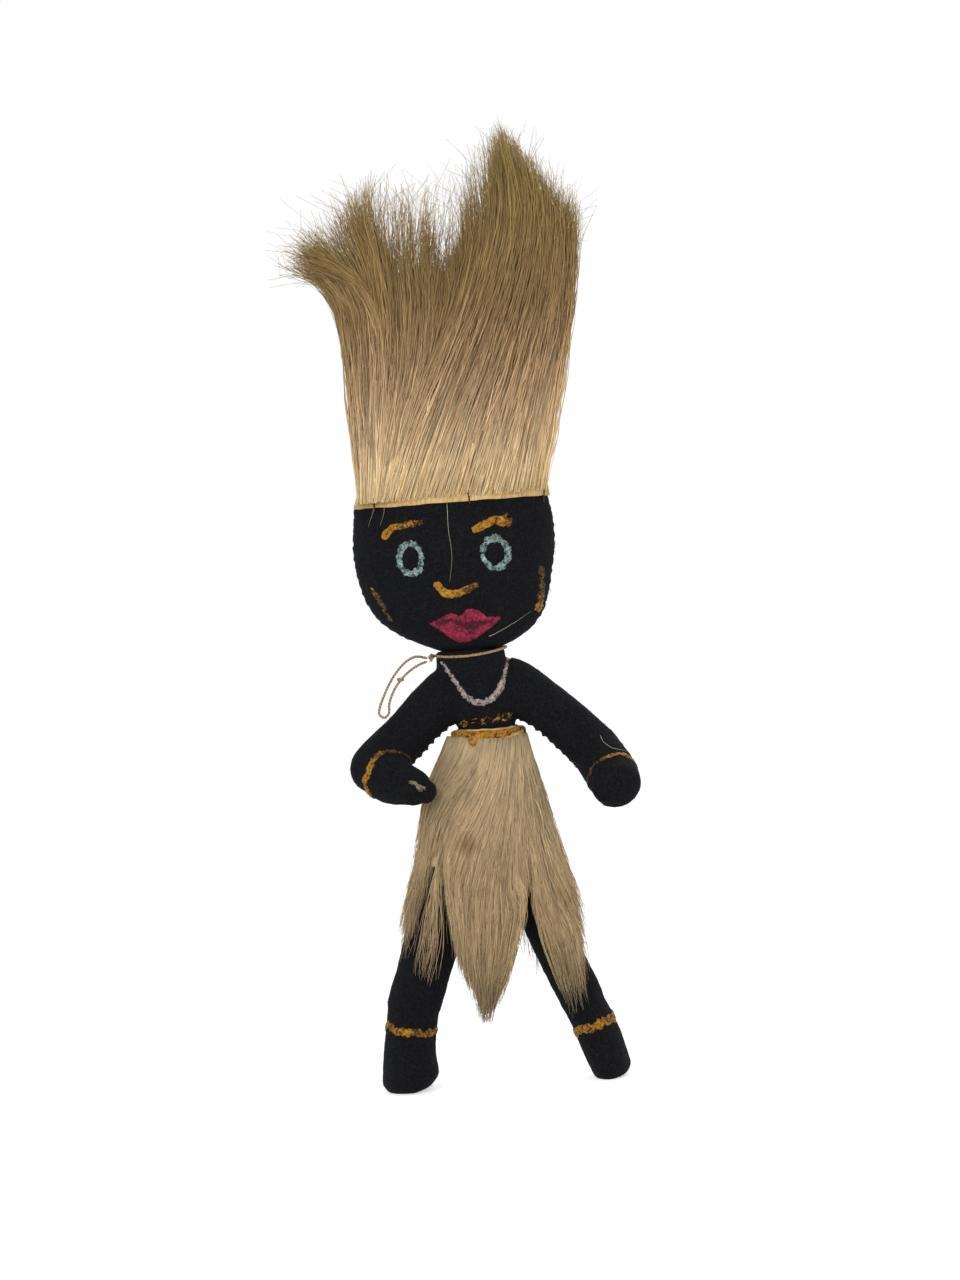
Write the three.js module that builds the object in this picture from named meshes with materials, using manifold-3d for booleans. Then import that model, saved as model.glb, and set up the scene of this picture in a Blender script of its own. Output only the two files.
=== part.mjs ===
// A hand-sewn felt doll with hair and a skirt of animal hide, and a bendable wire inside.
// Millimetres, +Z up. The doll faces -Y and its left side is +X. It is drawn with z = 0 under its
// soles, and at the end it is moved so that the origin lies under the middle of its box.
import * as THREE from 'three';
import { mergeVertices } from 'three/addons/utils/BufferGeometryUtils.js';
import Module from 'manifold-3d';

const wasm = await Module();
wasm.setup();

const point = (x, y, z) => new THREE.Vector3(x, y, z);

// Cloth, wire, string, hide and paint
const gap = 0.3; // between pieces that touch
const turnGap = 0.5; // round what a piece turns against
const chordSag = 0.15; // more, where flats of two forms don't lie in line
const feltThickness = 1.6;
const wireRadius = 0.8;
const stringRadius = 0.35;
const hideThickness = 1.2;
const paintThickness = 0.6;
const furThickness = 2.4;

// Heights: the legs carry the hips, the trunk the shoulders, and the collar the head
const hipHeight = 78;
const trunkHeight = 24;
const collarHeight = 6.2;
const shoulderLine = hipHeight + trunkHeight;
const collarTop = shoulderLine + collarHeight;
const headBottom = collarTop + 0.5;
const trunkAt = (share) => THREE.MathUtils.lerp(hipHeight, shoulderLine, share);
const waistHeight = trunkAt(5 / 12);

// Neck: a felt roll stands in the collar, turns there, and the head nods on its round top
const neckX = -2.2;
const collarRadius = 8.7;
const rollClearance = 1.1;
const rollRadius = collarRadius - feltThickness - rollClearance;
const rollDepth = 3; // below the shoulder line
const rollBottom = shoulderLine - rollDepth;
const nodCentre = point(neckX, 0, collarTop + 0.8);
const stringBelowCollar = 0.7;
const stringHeight = collarTop - stringBelowCollar;
const knotRadius = 1;
const knotAngle = 191; // degrees round the neck, from the doll's left towards its back

// The torso's underside is round about the hips' axis, so that the legs turn against it
const pelvis = { x: 0.6, halfWidth: 8.9, radius: 7 };
const hipSpread = 6.4;

// Where the limbs turn, and how far. A place may be given from another one
const from = (place, x, y, z) => place.clone().add(point(x, y, z));
const shoulderRight = point(-8.5, 0, shoulderLine - 3);
const shoulderLeft = point(7.4, 0, shoulderLine - 2);
const shoulderRange = [-8, 50];
const wristRight = from(shoulderRight, -19.3, -2, -17.4);
const wristLeft = from(shoulderLeft, 20, -2, -18.4);
const wristRangeRight = [-75, 5];
const wristRangeLeft = [-40, 30];
const hipRight = point(pelvis.x - hipSpread, 0, hipHeight);
const hipLeft = point(pelvis.x + hipSpread, 0, hipHeight);
const ankleRight = point(-22.9, 0, 21.5);
const ankleLeft = point(19.1, 0, 20);
const ankleRange = [-25, 25];
const ringSpacing = 10; // along a limb
const motionStep = 30; // degrees between the poses that an arm is cleared for
const wireStart = { arm: 10.5, hand: 7.4, leg: 6, foot: 7.6 }; // along the limb, past its joint

// Straps and painted bands
const strapWidth = 5;
const strapTop = waistHeight + 1.6;
const strapBottom = strapTop - strapWidth;
const waistPaintWidth = 2.7;
const waistPaintTop = strapTop - gap;
const waistPaintBottom = waistPaintTop - waistPaintWidth;
const braceletWidth = 1.9;
const braceletRight = 3.4; // from the wrist
const braceletLeft = 9.5;
const ankletWidth = 2.6;
const ankletFromAnkle = 6;

// Body forms as lists of level slices: height, centre x, half width, half depth
const pelvisSlice = (degrees) => {
  const angle = THREE.MathUtils.degToRad(degrees);
  const height = hipHeight - pelvis.radius * Math.sin(angle);
  return [height, pelvis.x, pelvis.halfWidth * Math.cos(angle), pelvis.radius * Math.cos(angle)];
};
const torsoSlices = [
  ...[62, 48, 27, 0].map(pelvisSlice),
  [trunkAt(0.19), 0.7, 8.3, 7.0],
  [waistHeight, 0.8, 6.8, 6.3],
  [trunkAt(0.56), 0.2, 7.6, 6.9],
  [trunkAt(0.71), -0.7, 9.0, 7.9],
  [shoulderLine, -1.8, 9.0, 8.3],
  [collarTop - 2, neckX, collarRadius, collarRadius],
  [collarTop, neckX, collarRadius, collarRadius],
];
const headSlices = [
  [0, -2.6, 5.0, 4.4],
  [1.2, -2.2, 8.8, 6.4],
  [3.7, -2.5, 14.2, 8.6],
  [7.8, -3.4, 19.4, 10.4],
  [12.8, -4.2, 22.3, 11.7],
  [19.3, -4.6, 24.2, 12.5],
  [26.3, -4.2, 25.2, 12.4],
  [32.8, -4.1, 24.9, 11.5],
  [38.3, -4.3, 24.1, 10.4],
].map(([up, ...sizes]) => [headBottom + up, ...sizes]);
const skirtSlices = [
  [38, -1.7, 20.4, 12.9],
  [28, -1.4, 17.2, 12.3],
  [18, -1.8, 15.3, 11.8],
  [10, -0.6, 12.9, 10.9],
  [2.6, 0.7, 11.0, 9.9],
].map(([drop, ...sizes]) => [waistHeight - drop, ...sizes]);

// The hide strip that closes the head's top and carries the hair
const scalpHeight = 3.2;
const scalpOverhang = 0.4;

// Limbs: a path, with the half width and half depth at each of its points
const rightArm = {
  path: [
    from(shoulderRight, 2.9, 0, 2.4), shoulderRight, from(shoulderRight, -9.7, -0.5, -8.4), wristRight,
  ],
  half: [[5.5, 4.4], [6.5, 6.0], [6.0, 6.1], [6.5, 6.5]],
  endRound: 6.5,
};
const leftArm = {
  path: [
    from(shoulderLeft, -3, 0, 2.4), shoulderLeft, from(shoulderLeft, 10.5, -0.5, -8.4), wristLeft,
  ],
  half: [[5.5, 4.4], [6.5, 6.0], [6.0, 6.1], [6.5, 6.5]],
  endRound: 6.5,
};
const rightHand = {
  path: [wristRight, from(wristRight, 4.2, -5.2, -3), from(wristRight, 9.2, -9.4, -5.4)],
  half: [[6.4, 6.4], [6.4, 6.4], [5.4, 5.4]],
  endRound: 4.2,
};
const leftHand = {
  path: [wristLeft, from(wristLeft, 2.5, -5.4, -4.4), from(wristLeft, 4, -10.6, -7.8)],
  half: [[6.4, 6.4], [6.5, 6.5], [6.2, 6.2]],
  endRound: 4.8,
};
const legTop = 3.5; // below the hips' axis, so that a raised leg stays clear of the torso
const legAt = (ankle, share) => THREE.MathUtils.lerp(hipHeight, ankle.z, share);
const rightLeg = {
  path: [
    from(hipRight, -0.6, 0, -legTop), point(-8.8, 0, legAt(ankleRight, 0.28)),
    point(-14.6, 0, legAt(ankleRight, 0.6)), ankleRight,
  ],
  half: [[5.6, 6.0], [6.6, 6.8], [7.0, 7.0], [6.6, 6.8]],
  endRound: 6.6,
};
const leftLeg = {
  path: [
    from(hipLeft, 0.3, 0, -legTop), point(8.4, 0, legAt(ankleLeft, 0.28)),
    point(11, 0, legAt(ankleLeft, 0.62)), ankleLeft,
  ],
  half: [[5.6, 6.0], [6.2, 6.4], [5.9, 6.4], [5.5, 6.2]],
  endRound: 5.5,
};
const rightFoot = {
  path: [ankleRight, point(-24.7, -0.6, 11), point(-25.0, -1.4, 2.9)],
  half: [[6.4, 6.6], [6.6, 7.8], [7.1, 9.4]],
  endRound: 3.4,
};
const leftFoot = {
  path: [ankleLeft, point(22.8, -0.6, 10.5), point(25.2, -1.4, 2.9)],
  half: [[5.3, 6.0], [5.4, 7.4], [5.0, 9.0]],
  endRound: 3.4,
};

// Locks of hair: x at the scalp and at the bend, then the tip's x, its y and its share of the hair's
// height, and the half width
const hairHeight = 88.5; // of the tallest lock
const bendShare = 0.514;
const hairHalfDepth = 8.6;
const hairLocks = [
  [-22.0, -27.2, -43, 0, 0.695, 4.6],
  [-19.0, -24.4, -37.5, -2, 0.808, 4.8],
  [-15.5, -20.0, -20, 1, 0.915, 5.2],
  [-9.5, -13.0, -10, 3, 0.887, 5.0],
  [-4.0, -5.0, -1, 2, 0.718, 5.4],
  [1.0, 3.5, 8, 0, 0.955, 5.4],
  [5.5, 11.0, 13.8, -1, 1, 5.4],
  [9.5, 17.5, 22, 1, 0.932, 5.4],
  [12.5, 23.0, 28.5, 0, 0.876, 5.4],
  [14.5, 27.0, 32.4, 0, 0.802, 4.8],
];

// Locks of the skirt: where round the waist each one hangs, in degrees from the doll's left towards
// its back, then its tip's x, its y and its drop below the waist, and its half width
const lockRoot = waistHeight - 22; // where the locks leave the bell
const skirtLocks = [
  [205, -27.5, -9.5, 60, 4.4],
  [262, -5.5, -13, 69.8, 8.6],
  [308, 18.7, -12.2, 74.2, 5.0],
  [350, 23.5, -2, 54, 5.4],
  [30, 20.5, 9.5, 61, 5.8],
  [68, 8, 13.2, 68, 6.4],
  [106, -7, 13.2, 66, 6.4],
  [144, -21, 10, 61, 5.8],
  [178, -26.5, 2, 52, 5.0],
];

// Painted face, as seen from the front: x, and the height above the head's underside
const browWidths = { right: 1.7, left: 2.2 };
const brows = {
  right: [[-21.3, 29.7], [-17.6, 32.1], [-11.8, 32.9]],
  left: [[0.2, 30.1], [5.4, 31.9], [9.0, 32.9], [10.3, 30.2]],
};
const eyes = {
  right: { centre: [-15.2, 24.4], half: [3.6, 4.6] },
  left: { centre: [5.8, 24.2], half: [4.0, 4.5] },
};
const eyeStroke = 1.9;
const nose = [[-9.0, 17.5], [-5.9, 15.5], [0.2, 17.0]];
const noseWidth = 1.9;
const mouth = [
  [-11.6, 8.3], [-5.8, 10.5], [-3.4, 9.6], [-1, 10.8], [6, 8.1], [1.2, 4.1], [-3.2, 2.8], [-7.6, 4.7],
];
const earMarks = { right: [[-25.3, 17.5], [-21.6, 10.1]], left: [[16.7, 19.3], [15.6, 10.7]] };
const earMarkWidth = 1.5;

// Painted necklace, from the front: x, and the height from the collar's top
const necklace = [
  [-9.2, -2.8], [-7.4, -5.6], [-5.4, -9], [-3.4, -11.2], [-0.5, -12], [2.6, -10.8], [5.2, -7], [6.6, -3],
];
const necklaceWidth = 1.6;

// The loop of string that hangs from the knot: out along one strand and back along the other
const stringLoop = [
  point(-13.2, -2.6, 107.9), point(-13.9, -3, 108.2), point(-16.2, -4.8, 108.7),
  point(-18.9, -6.6, 107.9), point(-21.5, -7.8, 105.8), point(-23.6, -8.4, 103),
  point(-25.1, -8.7, 99.8), point(-26, -8.8, 97), point(-26, -8.9, 95.2),
  point(-24.8, -8.9, 94.2), point(-23.6, -8.9, 95.2), point(-23.3, -8.8, 97.2),
  point(-22.2, -8.5, 100.2), point(-20.4, -8, 102.9), point(-18, -7, 105),
  point(-15.6, -5.6, 106.4), point(-13.9, -4.2, 107), point(-13.3, -3.7, 107.1),
];

// Colours, from the photograph
const paint = (color) => new THREE.MeshStandardMaterial({ color, roughness: 0.6, metalness: 0 });
const far = 400; // past every edge of the doll, for cutters
const materials = {
  felt: new THREE.MeshStandardMaterial({ color: 0x17171b, roughness: 0.95, metalness: 0 }),
  stuffing: new THREE.MeshStandardMaterial({ color: 0xd9d3c5, roughness: 1, metalness: 0 }),
  wire: new THREE.MeshStandardMaterial({ color: 0x8f8f92, roughness: 0.4, metalness: 0.9 }),
  hide: new THREE.MeshStandardMaterial({ color: 0xd8c48f, roughness: 0.8, metalness: 0 }),
  hair: new THREE.MeshStandardMaterial({ color: 0xbfa57c, roughness: 0.6, metalness: 0 }),
  string: new THREE.MeshStandardMaterial({ color: 0xa38a62, roughness: 0.7, metalness: 0 }),
  yellowPaint: paint(0xc8912c),
  palePaint: paint(0xcdb6a6),
  mintPaint: paint(0x9db4b3),
  lipPaint: paint(0xa32c44),
};

// Solids from geometries, and geometries from solids
function toSolid(geometry) {
  const bare = geometry.clone();
  bare.deleteAttribute('normal');
  bare.deleteAttribute('uv');
  const merged = mergeVertices(bare, 1e-4);
  return new wasm.Manifold(new wasm.Mesh({
    numProp: 3,
    vertProperties: new Float32Array(merged.attributes.position.array),
    triVerts: new Uint32Array(merged.index.array),
  }));
}

function toGeometry(solid) {
  const mesh = solid.getMesh();
  const geometry = new THREE.BufferGeometry();
  geometry.setAttribute('position', new THREE.BufferAttribute(new Float32Array(mesh.vertProperties), 3));
  geometry.setIndex(new THREE.BufferAttribute(new Uint32Array(mesh.triVerts), 1));
  geometry.computeVertexNormals();
  return geometry;
}

// A closed skin over rings of points, with a fan over each end ring
function skin(rings) {
  const sides = rings[0].length;
  const points = rings.flat();
  const middle = (ring) => ring.reduce((sum, p) => sum.add(p), point(0, 0, 0)).divideScalar(sides);
  points.push(middle(rings[0]), middle(rings.at(-1)));
  const [bottom, top] = [points.length - 2, points.length - 1];
  const last = (rings.length - 1) * sides;
  const faces = [];
  for (let side = 0; side < sides; side += 1) {
    const next = (side + 1) % sides;
    for (let start = 0; start < last; start += sides) {
      const above = start + sides;
      faces.push(start + side, start + next, above + next);
      faces.push(start + side, above + next, above + side);
    }
    faces.push(bottom, next, side, top, last + side, last + next);
  }
  const geometry = new THREE.BufferGeometry().setFromPoints(points);
  geometry.setIndex(faces);
  return geometry;
}

// Centre x, half width and half depth at a height, on smooth curves through a form's slices
function sliceAt(slices, z) {
  const below = slices.findLastIndex((slice) => slice[0] <= z);
  const start = THREE.MathUtils.clamp(below, 0, slices.length - 2);
  const [p0, p1, p2, p3] = [-1, 0, 1, 2].map((step) => (
    slices[THREE.MathUtils.clamp(start + step, 0, slices.length - 1)]));
  const span = p2[0] - p1[0];
  const t = THREE.MathUtils.clamp((z - p1[0]) / span, 0, 1);
  return [1, 2, 3].map((column) => {
    const slope1 = (span * (p2[column] - p0[column])) / (p2[0] - p0[0]);
    const slope2 = (span * (p3[column] - p1[column])) / (p3[0] - p1[0]);
    return (2 * t ** 3 - 3 * t ** 2 + 1) * p1[column] + (t ** 3 - 2 * t ** 2 + t) * slope1
      + (3 * t ** 2 - 2 * t ** 3) * p2[column] + (t ** 3 - t ** 2) * slope2;
  });
}

// A body form through its slices, grown by one amount all round, and lengthened above or below
function loft(slices, { grow = 0, above = grow, below = grow, sides = 22, between = 1 } = {}) {
  const [bottom, top] = [slices[0][0] - below, slices.at(-1)[0] + above];
  const levels = slices.slice(0, -1).flatMap(([level], index) => (
    Array.from({ length: between + 1 }, (_, step) => (
      THREE.MathUtils.lerp(level, slices[index + 1][0], step / (between + 1))))));
  const inner = levels.slice(1).filter((level) => level > bottom + gap && level < top - gap);
  return skin([bottom, ...inner, top].map((level) => {
    const [x, wide, deep] = sliceAt(slices, level);
    return Array.from({ length: sides }, (_, side) => {
      const angle = (2 * Math.PI * side) / sides;
      return point(x + (wide + grow) * Math.cos(angle), (deep + grow) * Math.sin(angle), level);
    });
  }));
}

// Points, directions and cross axes at even steps along a path
function framesAlong(path, steps, facing) {
  const curve = new THREE.CatmullRomCurve3(path);
  let normal = facing;
  return Array.from({ length: steps + 1 }, (_, step) => {
    const at = curve.getPointAt(step / steps);
    const tangent = curve.getTangentAt(step / steps);
    normal = normal.clone().addScaledVector(tangent, -normal.dot(tangent)).normalize();
    const across = normal.clone().cross(tangent);
    return { at, tangent, normal, across, share: curve.getUtoTmapping(step / steps) };
  });
}

// A limb: oval rings along its path, flat at its start and rounded at its end. With lead it begins
// before its start, and with reach it runs on past its end, as a hole does
function sweep(limb, { grow = 0, lead = 0, reach = 0, steps, sides = 16 } = {}) {
  const { path, half, endRound, facing = point(0, -1, 0) } = limb;
  const length = new THREE.CatmullRomCurve3(path).getLength();
  const sizes = new THREE.CatmullRomCurve3(half.map(([wide, deep]) => point(wide, deep, 0)));
  const ringCount = steps ?? Math.max(3, Math.ceil(length / ringSpacing));
  const rings = framesAlong(path, ringCount, facing).map((frame) => {
    const size = sizes.getPoint(frame.share);
    return { ...frame, wide: size.x + grow, deep: size.y + grow };
  });
  const [start, end] = [rings[0], rings.at(-1)];
  if (lead > 0) rings.unshift({ ...start, at: start.at.clone().addScaledVector(start.tangent, -lead) });
  const round = endRound > 0 ? Math.min(endRound + grow, 0.98 * end.wide, 0.98 * end.deep) : 0;
  if (reach > 0) rings.push({ ...end, at: end.at.clone().addScaledVector(end.tangent, reach) });
  if (reach === 0 && round > 0) {
    for (const turn of [28, 55, 80]) {
      const angle = THREE.MathUtils.degToRad(turn);
      const shrink = round * (1 - Math.cos(angle));
      const at = end.at.clone().addScaledVector(end.tangent, round * Math.sin(angle));
      rings.push({ ...end, at, wide: end.wide - shrink, deep: end.deep - shrink });
    }
  }
  return skin(rings.map(({ at, normal, across, wide, deep }) => Array.from({ length: sides }, (_, side) => {
    const angle = (2 * Math.PI * side) / sides;
    return at.clone().addScaledVector(across, wide * Math.cos(angle))
      .addScaledVector(normal, deep * Math.sin(angle));
  })));
}

// A round bar along a path
function bar(path, radius, { steps, sides = 6 } = {}) {
  return sweep({ path, half: path.map(() => [radius, radius]), endRound: 0 }, { steps, sides });
}

// Points between two distances along a limb's path, and straight on past its end
function stretch({ path }, start, end, reach = 0) {
  const curve = new THREE.CatmullRomCurve3(path);
  const steps = 5;
  const share = (distance) => THREE.MathUtils.clamp(distance / curve.getLength(), 0, 1);
  const points = Array.from({ length: steps + 1 }, (_, step) => (
    curve.getPointAt(share(THREE.MathUtils.lerp(start, end, step / steps)))));
  const last = points[steps];
  if (reach > 0) points.push(last.clone().addScaledVector(curve.getTangentAt(share(end)), reach));
  return points;
}

// A painted band round a limb, between two distances along it
function paintBand({ path, half }, bottom, top) {
  const curve = new THREE.CatmullRomCurve3(path);
  const sizes = new THREE.CatmullRomCurve3(half.map(([wide, deep]) => point(wide, deep, 0)));
  const length = curve.getLength();
  const part = (start, end) => {
    const size = sizes.getPoint(curve.getUtoTmapping((start + end) / 2 / length));
    return {
      path: [curve.getPointAt(start / length), curve.getPointAt(end / length)],
      half: [[size.x, size.y], [size.x, size.y]],
      endRound: 0,
    };
  };
  return toSolid(sweep(part(bottom, top), { grow: gap + paintThickness, steps: 1 }))
    .subtract(toSolid(sweep(part(bottom - 1, top + 1), { grow: gap + chordSag, steps: 1 })));
}

// The space between two heights
function levelSlab(bottom, top) {
  return new THREE.BoxGeometry(far, far, top - bottom).translate(0, 0, (top + bottom) / 2);
}

// The space that a neighbour takes up beside a piece that turns about a hinge
function pathOf(neighbour, pivot, axis, [low, high]) {
  const poses = Math.ceil((high - low) / motionStep);
  let swept = toSolid(neighbour);
  for (let pose = 0; pose <= poses; pose += 1) {
    const angle = -THREE.MathUtils.degToRad(THREE.MathUtils.lerp(low, high, pose / poses));
    const turn = new THREE.Matrix4().makeTranslation(pivot.x, pivot.y, pivot.z)
      .multiply(new THREE.Matrix4().makeRotationAxis(axis, angle))
      .multiply(new THREE.Matrix4().makeTranslation(-pivot.x, -pivot.y, -pivot.z));
    swept = swept.add(toSolid(neighbour.clone().applyMatrix4(turn)));
  }
  return swept;
}

// The space that a round limb takes up beside a piece that turns about the limb's round end: a ball,
// the limb at both ends of the range, and the wedge between them
function fanOf(limb, axis, [low, high]) {
  const curve = new THREE.CatmullRomCurve3(limb.path);
  const pivot = curve.getPointAt(1);
  const back = curve.getTangentAt(1).negate();
  const radius = Math.max(...limb.half.at(-1)) + turnGap;
  const length = curve.getLength();
  const cutSides = 12;
  const around = radius / Math.cos(Math.PI / cutSides);
  const placed = (geometry, angle) => {
    const turn = new THREE.Matrix4().makeRotationAxis(axis, -THREE.MathUtils.degToRad(angle));
    const along = back.clone().applyMatrix4(turn);
    const basis = new THREE.Matrix4().makeBasis(along, axis.clone().cross(along), axis);
    return toSolid(geometry.applyMatrix4(basis).translate(pivot.x, pivot.y, pivot.z));
  };
  const tube = () => new THREE.CylinderGeometry(around, around, length, cutSides)
    .rotateZ(Math.PI / 2).translate(length / 2, 0, 0);
  const half = THREE.MathUtils.degToRad((high - low) / 2);
  const side = new THREE.Vector2(length * Math.cos(half), length * Math.sin(half));
  const wedge = new THREE.Shape([
    new THREE.Vector2(), new THREE.Vector2(side.x, -side.y), new THREE.Vector2(2 * length, 0), side,
  ]);
  const slab = new THREE.ExtrudeGeometry(wedge, { depth: 2 * radius, bevelEnabled: false })
    .translate(0, 0, -radius);
  return placed(new THREE.SphereGeometry(around, cutSides, cutSides / 2), low)
    .add(placed(tube(), low)).add(placed(tube(), high)).add(placed(slab, (low + high) / 2));
}

const doll = new THREE.Group();

function addPiece(name, shape, material) {
  const mesh = new THREE.Mesh(shape.isBufferGeometry ? shape : toGeometry(shape), material);
  mesh.name = name;
  doll.add(mesh);
}

// The cloth, stuffing and wire of one limb, clear of what it turns against. The cloth of an arm or a
// leg is open at both ends, and that of a hand or a foot at its start. A foot ends flat on its sole
function addLimb(name, limb, cleared, { wireFrom, openEnd, sole = -Infinity }) {
  const length = new THREE.CatmullRomCurve3(limb.path).getLength();
  const reach = openEnd ? limb.endRound + 2 : 0;
  const form = (grow, more) => {
    const solid = toSolid(sweep(limb, { grow, ...more }));
    return sole === -Infinity ? solid : solid.subtract(toSolid(levelSlab(-far, sole - grow)));
  };
  const inside = form(-feltThickness, { lead: 3, reach, sides: 12 });
  const felt = form(0, {}).subtract(cleared).subtract(inside);
  addPiece(`${name}_felt`, felt, materials.felt);
  const channelEnd = openEnd ? length : length - wireRadius + gap;
  const channel = bar(stretch(limb, 0, channelEnd, reach), wireRadius + gap);
  const stuffing = form(-feltThickness - gap - chordSag, { sides: 10 }).subtract(cleared);
  addPiece(`${name}_stuffing`, stuffing.subtract(toSolid(channel)), materials.stuffing);
  addPiece(`${name}_wire`, bar(stretch(limb, wireFrom, length - wireRadius), wireRadius), materials.wire);
}

// Paint lies on a form as a thin raised skin: here the part of it inside a cutter
function paintOn(form, cutter) {
  const outside = toSolid(form(gap + paintThickness));
  return outside.subtract(toSolid(form(gap))).intersect(cutter);
}

// A cutter for paint on the doll's front, from an outline in x and the height above a base
function frontCutter(outline, base) {
  const prism = new THREE.ExtrudeGeometry(outline, { depth: far, bevelEnabled: false, curveSegments: 9 });
  return toSolid(prism.rotateX(Math.PI / 2).translate(0, 0, base));
}

// The outline of a brush stroke of one width, with round ends
function strokeOutline(places, width) {
  const curve = new THREE.SplineCurve(places.map(([x, z]) => new THREE.Vector2(x, z)));
  const steps = 2 * places.length;
  const side = (sign) => Array.from({ length: steps + 1 }, (_, step) => {
    const tangent = curve.getTangentAt(step / steps);
    const normal = new THREE.Vector2(-tangent.y, tangent.x);
    return curve.getPointAt(step / steps).addScaledVector(normal, (sign * width) / 2);
  });
  const tip = (share, direction) => curve.getPointAt(share)
    .addScaledVector(curve.getTangentAt(share), (direction * width) / 2);
  return new THREE.Shape([tip(0, -1), ...side(-1), tip(1, 1), ...side(1).reverse()]);
}

// The roll of felt that the head turns and nods on, and the knot of the string round the collar
const rollLimb = {
  path: [point(neckX, 0, rollBottom), nodCentre],
  half: [[rollRadius, rollRadius], [rollRadius, rollRadius]],
  endRound: rollRadius,
};
const rollShape = (grow) => sweep(rollLimb, { grow, steps: 1, sides: 20 });
const socket = toSolid(rollShape(turnGap));
const knotCentre = point(collarRadius + gap + knotRadius, 0, stringHeight)
  .applyAxisAngle(point(0, 0, 1), THREE.MathUtils.degToRad(knotAngle)).add(point(neckX, 0, 0));

// Torso: an open-topped bag of felt, its stuffing, and the wire frame with its two cross bars
const torsoShape = (grow, more = {}) => loft(torsoSlices, { grow, between: 0, ...more });
const torsoInside = toSolid(torsoShape(-feltThickness, { above: 2, sides: 18 }));
addPiece('torso_felt', toSolid(torsoShape(0)).subtract(torsoInside), materials.felt);
const frameBars = (radius, more) => {
  const upright = [
    point(pelvis.x, 0, hipHeight - 0.5 - more),
    point(0.5, 0, waistHeight - 2),
    point(-0.4, 0, rollBottom - 1.5 + 4 * more),
  ];
  const across = (x, z, reach) => [
    point(x - reach - more, 0, z), point(x, 0, z + 1), point(x + reach + more, 0, z),
  ];
  const shoulders = across(-0.1, shoulderLine - 8.5, 6.1);
  const hips = across(pelvis.x, hipHeight + 1.6, 5.5);
  return [upright, shoulders, hips].map((path) => toSolid(bar(path, radius)))
    .reduce((joined, next) => joined.add(next));
};
const torsoStuffing = toSolid(torsoShape(-feltThickness - gap - chordSag, { sides: 14 }))
  .subtract(toSolid(levelSlab(rollBottom - gap, far))).subtract(frameBars(wireRadius + gap, gap));
addPiece('torso_stuffing', torsoStuffing, materials.stuffing);
addPiece('torso_wire_frame', frameBars(wireRadius, 0), materials.wire);

// Neck roll and its wire
const neckWire = [from(nodCentre, 0, 0, 1 - collarHeight - rollDepth), from(nodCentre, 0, 0, 3)];
const neckChannel = [from(neckWire[0], 0, 0, -3), from(neckWire[1], 0, 0, gap)];
const neckRoll = toSolid(rollShape(0)).subtract(toSolid(bar(neckChannel, wireRadius + gap)));
addPiece('neck_roll', neckRoll, materials.felt);
addPiece('neck_wire', bar(neckWire, wireRadius), materials.wire);

// String round the neck, its knot, and the loop that hangs from it
const ringRadius = collarRadius + gap + stringRadius;
const ringGap = THREE.MathUtils.radToDeg((knotRadius + 2 * gap) / ringRadius); // beside the knot
const ringPath = Array.from({ length: 25 }, (_, step) => {
  const turn = knotAngle + ringGap + ((360 - 2 * ringGap) * step) / 24;
  const angle = THREE.MathUtils.degToRad(turn);
  return point(neckX + ringRadius * Math.cos(angle), ringRadius * Math.sin(angle), stringHeight);
});
addPiece('neck_string', bar(ringPath, stringRadius, { steps: 24 }), materials.string);
const knot = new THREE.SphereGeometry(knotRadius, 12, 8).translate(...knotCentre);
addPiece('neck_string_knot', toSolid(knot), materials.string);
const loopCurve = new THREE.CatmullRomCurve3(stringLoop);
const loopSection = new THREE.Shape(Array.from({ length: 8 }, (_, side) => new THREE.Vector2(
  stringRadius * Math.cos((side * Math.PI) / 4), stringRadius * Math.sin((side * Math.PI) / 4))));
const loopSteps = Math.round(loopCurve.getLength() / (5 * stringRadius));
addPiece('neck_string_loop', toSolid(new THREE.ExtrudeGeometry(loopSection, {
  steps: loopSteps, extrudePath: loopCurve, bevelEnabled: false,
})), materials.string);

// Painted necklace
const necklaceCutter = frontCutter(strokeOutline(necklace, necklaceWidth), collarTop);
addPiece('necklace_paint', paintOn(torsoShape, necklaceCutter), materials.palePaint);

// A band round the waist between two heights, from one distance off the torso to another
function waistBand(bottom, top, inner, outer) {
  const within = torsoSlices.map(([level]) => level).filter((level) => level > bottom && level < top);
  const slices = [bottom, ...within, top].map((level) => [level, ...sliceAt(torsoSlices, level)]);
  const shape = (grow, more) => toSolid(loft(slices, { grow, above: more, below: more, between: 0 }));
  return shape(outer, 0).subtract(shape(inner, 1));
}

// Skirt: a hide strap round the waist, its painted edge, and the fur that hangs from it
const strapOuter = gap + chordSag + hideThickness;
addPiece('skirt_hide_strap', waistBand(strapBottom, strapTop, gap + chordSag, strapOuter), materials.hide);
const waistPaintInner = strapOuter + gap + chordSag;
addPiece('waistband_paint', waistBand(
  waistPaintBottom, waistPaintTop, waistPaintInner, waistPaintInner + paintThickness,
), materials.yellowPaint);

function skirtLock([turn, tipX, tipY, drop, halfWidth]) {
  const tip = point(tipX, tipY, waistHeight - drop);
  const angle = THREE.MathUtils.degToRad(turn);
  const wall = furThickness / 2;
  const onBell = (level) => {
    const [x, wide, deep] = sliceAt(skirtSlices, level);
    return point(x + (wide - wall) * Math.cos(angle), (deep - wall) * Math.sin(angle), level);
  };
  const hem = onBell(skirtSlices[0][0]);
  return toSolid(sweep({
    path: [onBell(lockRoot), hem, hem.clone().lerp(tip, 0.5).add(point(0, 0, -1)), tip],
    half: [[0.5 * halfWidth, wall], [halfWidth, wall], [0.8 * halfWidth, wall], [0.5, 0.4]],
    endRound: 0,
    facing: point(Math.cos(angle), Math.sin(angle), 0),
  }, { steps: 5, sides: 6 }));
}

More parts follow.
